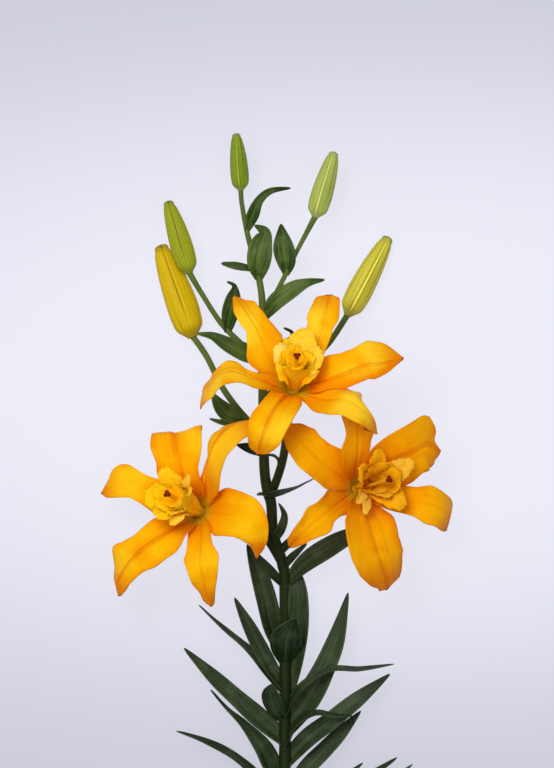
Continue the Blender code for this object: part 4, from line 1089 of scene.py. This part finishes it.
# The bright and deep colours of each bloom's tepals, where deep also serves the painted shade, and the
# colour of the painted highlight where each bends back, then the colours that all of them share
TEPAL_COLOURS = (
    ("Golden tepal", (1.0, 0.50, 0.002), (0.84, 0.235, 0.001), (1.0, 0.575, 0.024)),
    ("Deep golden tepal", (0.985, 0.48, 0.002), (0.80, 0.215, 0.001), (0.99, 0.505, 0.007)),
    ("Orange tepal", (0.92, 0.39, 0.001), (0.70, 0.17, 0.001), (0.92, 0.40, 0.002)),
)
TEPAL_RIB = (0.48, 0.14, 0.002)
TEPAL_EDGE = (0.55, 0.20, 0.002)
TEPAL_TIP = (0.16, 0.07, 0.01)
TEPAL_THROAT = (0.62, 0.42, 0.015)
# The pale, bright and base colours of the petaloids
PETALOID_COLOURS = (
    ("Pale petaloid", (1.0, 0.72, 0.14), (1.0, 0.52, 0.004), (0.95, 0.46, 0.004)),
    ("Deep petaloid", (0.92, 0.56, 0.07), (0.90, 0.38, 0.003), (0.72, 0.25, 0.003)),
)
# The throat's and the pistil's colours at the foot, higher up, and in the veins or patches over them
THROAT_COLOURS = ((0.14, 0.12, 0.006), (0.55, 0.28, 0.005), (0.20, 0.14, 0.006))
PISTIL_COLOURS = ((0.45, 0.30, 0.012), (0.80, 0.42, 0.006), (0.80, 0.46, 0.01))
# The stigma's two colours, which are patched
STIGMA_COLOURS = ((0.11, 0.004, 0.0005), (0.28, 0.025, 0.001))
# The dark and light colours of the leaves, and their gloss
LEAF_COLOURS = (
    ("Lower leaf", (0.0018, 0.012, 0.0002), (0.076, 0.112, 0.048), 0.18),
    ("Upper leaf", (0.003, 0.022, 0.0003), (0.155, 0.240, 0.050), 0.14),
)
# The stem's two patched colours low down and high up, its veins, and the cut's strands and pith
STEM_LOW = ((0.003, 0.008, 0.001), (0.012, 0.022, 0.004))
STEM_HIGH = ((0.055, 0.09, 0.014), (0.13, 0.18, 0.033))
STEM_VEINS = (0.10, 0.15, 0.03)
CUT_COLOURS = ((0.12, 0.2, 0.05), (0.42, 0.52, 0.25))

# Each bud: how far a keel is turned from the side that looks up, in degrees, how clear its keel line and the
# lines beside that are, and its colours: flank, keel, which is partly its own paler colour and partly a
# painted highlight along the ridge, seam, and tip and foot
BUD_LOOKS = {
    "bud_top": (
        -8, 0.9, 0.5, (0.18, 0.26, 0.012), (0.38, 0.46, 0.05), (0.05, 0.08, 0.003), (0.24, 0.29, 0.08),
    ),
    "bud_upper_right": (
        -6, 0.9, 0.4, (0.35, 0.42, 0.075), (0.66, 0.70, 0.22), (0.12, 0.16, 0.02), (0.32, 0.37, 0.13),
    ),
    "bud_lower_right": (
        4, 1.0, 0.7, (0.52, 0.47, 0.035), (0.95, 0.84, 0.12), (0.14, 0.14, 0.008), (0.30, 0.31, 0.06),
    ),
    "bud_upper_left": (
        -49, 0.4, 0.0, (0.30, 0.33, 0.012), (0.37, 0.39, 0.02), (0.04, 0.05, 0.002), (0.18, 0.24, 0.03),
    ),
    "bud_lower_left": (
        -46, 0.3, 0.0, (0.60, 0.40, 0.002), (0.74, 0.54, 0.004), (0.17, 0.11, 0.002), (0.28, 0.21, 0.008),
    ),
}

# The floor glows as painted light that fills in shadows, most round its middle, and its paper and glow
# darken across the given distances, in metres, as a painted fall-off of light
FLOOR_NEAR = (0.446, 0.446, 0.498)
FLOOR_PAINTED_DIM = (0.322, 0.322, 0.372)
FLOOR_GLOW = 1.67
FLOOR_MIDDLE = (0.04, 0.15, 0)
FLOOR_SQUEEZE = (0.4, 1, 1)
FLOOR_PAINTED_FALLOFF = (0.10, 0.355)
# How much of the glow's colour the paper itself has
PAPER_SHARE = (0.2, 0.2, 0.2)


def tepal_finish(name, bright, deep, painted_crest_highlight):
    """Golden satin, streaked between the veins and olive in the throat. Painted shade deepens it at the
    foot, towards the tip, near the edges and on one side of the rib, the midrib is deeper partly in its own
    colour and partly in painted shade beside it, and a painted highlight makes it paler where it bends back.
    """
    made, look = new_finish(
        name, Subsurface_Weight=0.35, Subsurface_Radius=(1.0, 0.5, 0.03), Subsurface_Scale=0.004,
        Specular_IOR_Level=0.05, Specular_Tint=GOLDEN_GLOSS,
    )
    across, along = look.blade()
    off = look.off_middle(across)
    middle = look.times(look.value("middle"), look.step(along, 0.1, 0.35))
    side = look.less(look.times_plus(across, 2.0, -1.0), middle)
    from_rib = look.sums("ABSOLUTE", side)
    # Painted shade on one side of the rib, as strong as the mesh's shade value
    shaded = look.larger(look.times(side, look.value("shade")), 0.0)
    veins = look.group(VEINS, Count=30.0, Wander=0.05, Sharpness=3.0)
    skin = look.group(SKIN, Grain_Scale=2400.0, Patch_Scale=34.0)
    rib = look.value("rib")
    # How deep the colour is: random patches, streaks, tone and veins, the midrib's deeper colour with
    # painted shade beside it, and painted shade at the foot, towards the tip and near the edges
    share = look.total(
        (look.step(skin["Patches"], 0.42, 0.72), 0.3),
        (look.step(veins["Mottle"], 0.38, 0.7), 0.22),
        (look.value("tone"), 0.12),
        (veins["Lines"], 0.1),
        (look.step(from_rib, 0.03, 0.32, 0.5, 0.0), rib),
        (look.step(along, 0.16, 0.45, 1.0, 0.0), look.value("foot")),
        (look.step(along, 0.72, 1.0), look.value("end")),
        (look.step(off, 0.6, 1.0, 0.0, 0.3), 1.0),
    )
    # A painted highlight: paler where the tepal bends back and faces the light, in broad patches, and less
    # on the painted-shade side
    paler = look.times(look.step(along, 0.4, 0.58), look.step(along, 0.9, 0.7))
    paler = look.times(paler, look.step(skin["Patches"], 0.6, 0.4, 0.0, 0.75))
    twin = look.times(look.step(rib, 0.8, 0.9), 0.055)
    line = look.times(look.step(look.apart(from_rib, twin), 0.006, 0.034, 0.6, 0.0), rib)
    colour = look.layers(
        look.mix(look.plus(share, shaded), bright, deep),
        (look.less(paler, shaded), painted_crest_highlight),
        (look.times(line, look.step(along, 0.97, 0.8)), TEPAL_RIB),
        (look.step(off, 0.95, 1.0, 0.0, 0.5), TEPAL_EDGE),
        (look.step(along, 0.975, 0.995, 0.0, 0.8), TEPAL_TIP),
        (look.step(along, 0.08, 0.22, 0.9, 0.0), TEPAL_THROAT),
    )
    height = look.times_plus(veins["Lines"], -0.5, look.times(skin["Grain"], 0.25))
    look.surface(colour, height, 0.1, look.times_plus(skin["Patches"], 0.2, 0.4))
    return made


def petaloid_finish(name, pale, bright, base):
    """Golden, paler where the blade is pale, and deeper at its foot."""
    made, look = new_finish(
        name, Subsurface_Weight=0.4, Subsurface_Radius=(1.0, 0.9, 0.25), Subsurface_Scale=0.003,
        Specular_IOR_Level=0.06, Specular_Tint=GOLDEN_GLOSS,
    )
    across, along = look.blade()
    veins = look.group(VEINS, Count=12.0, Wander=0.3, Sharpness=2.0)
    skin = look.group(SKIN, Grain_Scale=1800.0, Patch_Scale=190.0)
    tone = look.value("tone")
    share = look.total(
        (look.step(skin["Patches"], 0.45, 0.68), 0.25),
        (look.step(look.off_middle(across), 0.8, 1.0, 0.0, 0.1), 1.0),
        (tone, 1.0),
    )
    share = look.times(look.less(share, 0.2), look.step(along, 0.25, 0.7))
    colour = look.layers(
        look.mix(share, bright, pale),
        (look.times(tone, -2.0), base),
        (look.times(veins["Lines"], 0.15), base),
        (look.step(along, 0.08, 0.3, 0.8, 0.0), base),
    )
    height = look.times_plus(veins["Lines"], -0.3, look.times(skin["Patches"], 1.2))
    look.surface(colour, height, 0.3, look.times_plus(skin["Patches"], 0.25, 0.4))
    return made


def throat_finish():
    """Olive gold, greener low down, in fine streaks that run up out of the throat."""
    made, look = new_finish(
        "Throat", Specular_IOR_Level=0.15, Subsurface_Weight=0.3, Subsurface_Scale=0.003,
    )
    low, high, between = THROAT_COLOURS
    veins = look.group(VEINS, Count=24.0, Wander=0.05, Sharpness=2.0)
    _, along = look.blade()
    colour = look.mix(look.step(along, 0.2, 0.8), low, high)
    colour = look.mix(look.times(veins["Lines"], 0.4), colour, between)
    look.finish(Base_Color=colour, Roughness=look.times_plus(veins["Mottle"], 0.2, 0.4))
    return made


def leaf_finish(name, dark, light, shine):
    """Waxy green with fine parallel veins and a paler midrib line."""
    made, look = new_finish(name, Specular_IOR_Level=shine)
    across, along = look.blade()
    off = look.off_middle(across)
    veins = look.group(VEINS, Count=15.0, Wander=0.04, Sharpness=5.0)
    skin = look.group(SKIN, Grain_Scale=2200.0, Patch_Scale=60.0)
    share = look.total(
        (look.step(skin["Patches"], 0.42, 0.7), 0.3),
        (look.step(veins["Mottle"], 0.4, 0.66), 0.3),
        (veins["Lines"], 0.6),
        (look.value("tone"), 0.25),
        (look.step(off, 0.9, 1.0, 0.0, 0.35), 1.0),
    )
    colour = look.mix(look.less(share, 0.12), dark, light)
    colour = look.mix(look.step(off, 0.02, 0.07, 0.6, 0.0), colour, light)
    height = look.total((veins["Lines"], 0.5), (skin["Grain"], 0.2), (veins["Mottle"], 1.6))
    look.surface(colour, height, 0.3, look.times_plus(skin["Patches"], 0.2, 0.32))
    return made


def stem_finish():
    """Dark green low down, clear mid green among the buds, with fine streaks along it."""
    made, look = new_finish("Stem", Specular_IOR_Level=0.1)
    veins = look.group(VEINS, Count=22.0, Wander=0.06, Sharpness=2.0)
    skin = look.group(SKIN, Grain_Scale=1700.0, Patch_Scale=90.0)
    height_up = look.node("ShaderNodeSeparateXYZ", {0: look.place()})[1]
    low = look.mix(skin["Patches"], *STEM_LOW)
    high = look.mix(skin["Patches"], *STEM_HIGH)
    colour = look.mix(look.step(height_up, 0.06, 0.17), low, high)
    colour = look.mix(look.times(veins["Lines"], 0.12), colour, STEM_VEINS)
    height = look.times_plus(veins["Lines"], 0.6, look.times(skin["Grain"], 0.25))
    look.surface(colour, height, 0.15, look.times_plus(skin["Patches"], 0.2, 0.35))
    return made


def cut_finish():
    """The pale, moist cut face, dotted with the ends of the stem's strands."""
    made, look = new_finish("Cut stem", Specular_IOR_Level=0.5)
    dots = look.cells(900.0)
    colour = look.mix(look.step(dots, 0.12, 0.3), *CUT_COLOURS)
    look.finish(Base_Color=colour, Roughness=look.step(dots, 0.1, 0.5, 0.3, 0.5))
    return made


def pistil_finish():
    """Golden, more olive at the ovary."""
    made, look = new_finish("Pistil", Specular_IOR_Level=0.2)
    _, along = look.blade()
    skin = look.group(SKIN, Grain_Scale=2500.0, Patch_Scale=160.0)
    low, high, patch = PISTIL_COLOURS
    colour = look.mix(look.step(along, 0.15, 0.45), low, high)
    colour = look.mix(look.times(skin["Patches"], 0.4), colour, patch)
    look.surface(colour, skin["Grain"], 0.05, skin["Patches"])
    return made


def stigma_finish():
    """Sticky dark maroon, beaded all over."""
    made, look = new_finish("Stigma", Specular_IOR_Level=0.08, Coat_Roughness=0.2)
    patches = look.noise(look.place(), 500.0)
    look.finish(
        Base_Color=look.mix(patches, *STIGMA_COLOURS), Normal=look.relief(look.cells(2600.0), 0.12),
        Coat_Weight=look.step(patches, 0.5, 0.8, 0.0, 0.06),
        Roughness=look.step(patches, 0.3, 0.7, 0.35, 0.55),
    )
    return made


def bud_finish(name, keel_line_and_highlight, side_lines, flank, keel, seam, tip):
    """Satin skin in long streaks: its keels paler, partly in their own colour and partly as a painted
    highlight along the ridge, the seams darker, the foot and tip another tone.
    """
    made, look = new_finish(name, Specular_IOR_Level=0.08, Subsurface_Weight=0.1, Subsurface_Scale=0.003)
    around, along = look.blade()
    veins = look.group(VEINS, Count=42.0, Wander=0.03, Sharpness=2.0)
    skin = look.group(SKIN, Grain_Scale=1900.0, Patch_Scale=70.0)
    turns = look.sums("FRACT", look.times_plus(around, 3.0, 0.5))
    from_keel = look.apart(turns, 0.5)
    streaks = look.times(look.step(veins["Mottle"], 0.4, 0.66), 0.4)
    # The keel line: partly the keel's own paler colour and partly a painted highlight along the ridge
    line = look.step(from_keel, 0.012, 0.045, keel_line_and_highlight, 0.0)
    foot_line = look.step(look.apart(from_keel, 0.11), 0.0, 0.025, 0.7, 0.0)
    groove = look.step(look.apart(turns, 0.908), 0.006, 0.03, 0.9, 0.0)
    ends = look.larger(look.step(along, 0.84, 1.0, 0.0, 0.85), look.step(along, 0.0, 0.16, 0.8, 0.0))
    colour = look.layers(
        look.mix(look.larger(streaks, line), flank, keel),
        (look.step(look.apart(from_keel, 0.07), 0.0, 0.03, side_lines, 0.0), seam),
        (look.times(foot_line, look.step(along, 0.18, 0.34, 1.0, 0.0)), seam),
        (look.times(groove, look.step(along, 0.2, 0.45, 0.3, 1.0)), seam),
        (look.times(veins["Lines"], 0.2), seam),
        (ends, tip),
    )
    height = look.times_plus(veins["Lines"], -0.5, look.times(skin["Grain"], 0.2))
    look.surface(colour, height, 0.15, look.times_plus(skin["Patches"], 0.2, 0.38))
    return made


def floor_finish():
    """Plain pale paper that glows as painted light, brightest in the middle and darker outwards as a painted
    fall-off of light.
    """
    made, look = new_finish("Pale paper", Specular_IOR_Level=0.1, Emission_Strength=FLOOR_GLOW)
    tooth = look.noise(look.place(), 900.0)
    flat = look.node("ShaderNodeVectorMath", {0: look.place(), 1: FLOOR_SQUEEZE}, operation="MULTIPLY")[0]
    away = look.node("ShaderNodeVectorMath", {0: flat, 1: FLOOR_MIDDLE}, operation="DISTANCE")["Value"]
    # The paper and its glow darken away from the middle: a painted fall-off of light
    colour = look.mix(look.step(away, *FLOOR_PAINTED_FALLOFF), FLOOR_NEAR, FLOOR_PAINTED_DIM)
    paper = look.mix(1.0, colour, PAPER_SHARE, "MULTIPLY")
    look.finish(
        Base_Color=paper, Emission_Color=colour, Roughness=look.step(tooth, 0.2, 0.8, 0.8, 0.95)
    )
    return made


# The pieces

def make_stem():
    stem = stem_finish()
    rods = [rod("stem", STEM, STEM_GRID, flute=0.012, seed=3)]
    rods += [rod(name, stalk_knots(name), STALK_GRID, flute=0.015, seed=k) for k, name in enumerate(STALKS)]
    piece("green_stem", merged("green_stem", rods), stem, "leafy_stem", "leafy_stem")
    axis = unit(np.subtract(STEM[0][:3], STEM[1][:3]))
    face, angle, along = round_rod("cut_face", (40, 2))
    set_places(face, turned_to(spun(angle, CUT_RADIUS, along * 0.35 - 0.2), axis, STEM[0][:3]))
    piece("cut_face", face, cut_finish(), "leafy_stem", "leafy_stem")


def make_leaves():
    shapes = STEM_LEAVES + tuple(lower_leaf(number) for number in range(LOWER_LEAVES))
    for name, table, colours in zip(("stem_leaves", "bracts"), (shapes, BRACTS), LEAF_COLOURS):
        blades = [leaf(name, k, *shape) for k, shape in enumerate(table)]
        obj = piece(name, merged(name, blades), leaf_finish(*colours), "leafy_stem", "leafy_stem")
        thicken(obj, LEAF_THICKNESS)


def make_bloom(name, bloom, number, tepal_look, petaloid_look, throat_look, pistil_look, stigma_look):
    """The bloom's six pieces, each of which stands for one of its four nodes."""
    tepals = [tepal(name, bloom, shape, number * 10 + k) for k, shape in enumerate(bloom["tepals"].values())]
    petaloids = [
        petaloid(name, bloom, shape, number * 100 + k) for k, shape in enumerate(bloom["petaloids"])
    ]
    made = {
        label: piece(f"{name}_{label}", mesh, look, slot, f"{name}_{slot}")
        for label, mesh, look, slot in (
            ("petals", merged(name, tepals), tepal_look, "tepals"),
            ("base", receptacle_mesh(name, bloom), throat_look, "tepals"),
            ("heart", merged(name, petaloids), petaloid_look, "petaloids"),
            ("core", core_mesh(name, bloom), petaloid_look, "petaloids"),
            ("style", pistil_mesh(name, bloom), pistil_look, "pistil"),
            ("stigma_lobes", stigma_mesh(name, bloom), stigma_look, "stigma"),
        )
    }
    thicken(made["petals"], TEPAL_THICKNESS)
    thicken(made["heart"], PETALOID_THICKNESS)


def make_blooms():
    golden, deep_golden, orange = [tepal_finish(*colours) for colours in TEPAL_COLOURS]
    pale_heart, deep_heart = [petaloid_finish(*colours) for colours in PETALOID_COLOURS]
    shared = (throat_finish(), pistil_finish(), stigma_finish())
    looks = ((golden, pale_heart), (deep_golden, pale_heart), (orange, deep_heart))
    for number, (name, bloom) in enumerate(BLOOMS.items()):
        make_bloom(name, bloom, number + 1, *looks[number], *shared)


def make_buds():
    for number, (name, (base, tip, radius)) in enumerate(BUDS.items()):
        turn, *look = BUD_LOOKS[name]
        skin = bud_mesh(name, base, tip, radius, turn, number)
        piece(f"{name}_skin", skin, bud_finish(name, *look), name, name)


# Floor, light and camera

def make_stage():
    bm = bmesh.new()
    bmesh.ops.create_grid(bm, x_segments=1, y_segments=1, size=4)
    floor = new_object("floor", finished_mesh(bm, "floor"))
    floor.location.z = -0.0002
    floor.data.materials.append(floor_finish())


def soft_light(name, place, size, power, colour):
    """A large square light that looks at the blooms."""
    data = bpy.data.lights.new(name, "AREA")
    data.size = size
    data.energy = power
    data.color = colour
    lamp = new_object(name, data)
    lamp.location = place
    aim = np.subtract(LIT_PLACE, place)
    lamp.rotation_euler = (
        math.atan2(math.hypot(aim[0], aim[1]), -aim[2]), 0, math.atan2(aim[1], aim[0]) - math.pi / 2,
    )


def make_light():
    world = bpy.data.worlds.new("Studio")
    bpy.context.scene.world = world
    world.use_nodes = True
    world.node_tree.nodes["Background"].inputs["Color"].default_value = WORLD_COLOUR
    world.node_tree.nodes["Background"].inputs["Strength"].default_value = WORLD_STRENGTH
    for lamp in LAMPS:
        soft_light(*lamp)
    bpy.context.scene.view_settings.view_transform = "Standard"


def make_camera():
    data = bpy.data.cameras.new("Camera")
    data.sensor_fit = "VERTICAL"
    data.sensor_height = SENSOR_HEIGHT
    data.lens = SENSOR_HEIGHT * CAMERA_AWAY / PICTURE_HEIGHT
    camera = new_object("Camera", data)
    camera.location = np.array((*PICTURE_CENTRE, CAMERA_LEVEL + CAMERA_AWAY)) * MM
    bpy.context.scene.camera = camera


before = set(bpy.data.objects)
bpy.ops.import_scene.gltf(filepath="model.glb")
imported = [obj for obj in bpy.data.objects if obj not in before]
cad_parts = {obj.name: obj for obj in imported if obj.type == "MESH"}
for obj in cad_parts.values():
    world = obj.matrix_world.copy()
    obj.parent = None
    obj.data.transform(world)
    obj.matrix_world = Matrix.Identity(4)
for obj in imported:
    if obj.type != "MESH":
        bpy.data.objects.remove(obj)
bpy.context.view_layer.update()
VEINS = vein_group()
SKIN = skin_group()
make_stem()
make_leaves()
make_blooms()
make_buds()
make_stage()
make_light()
make_camera()
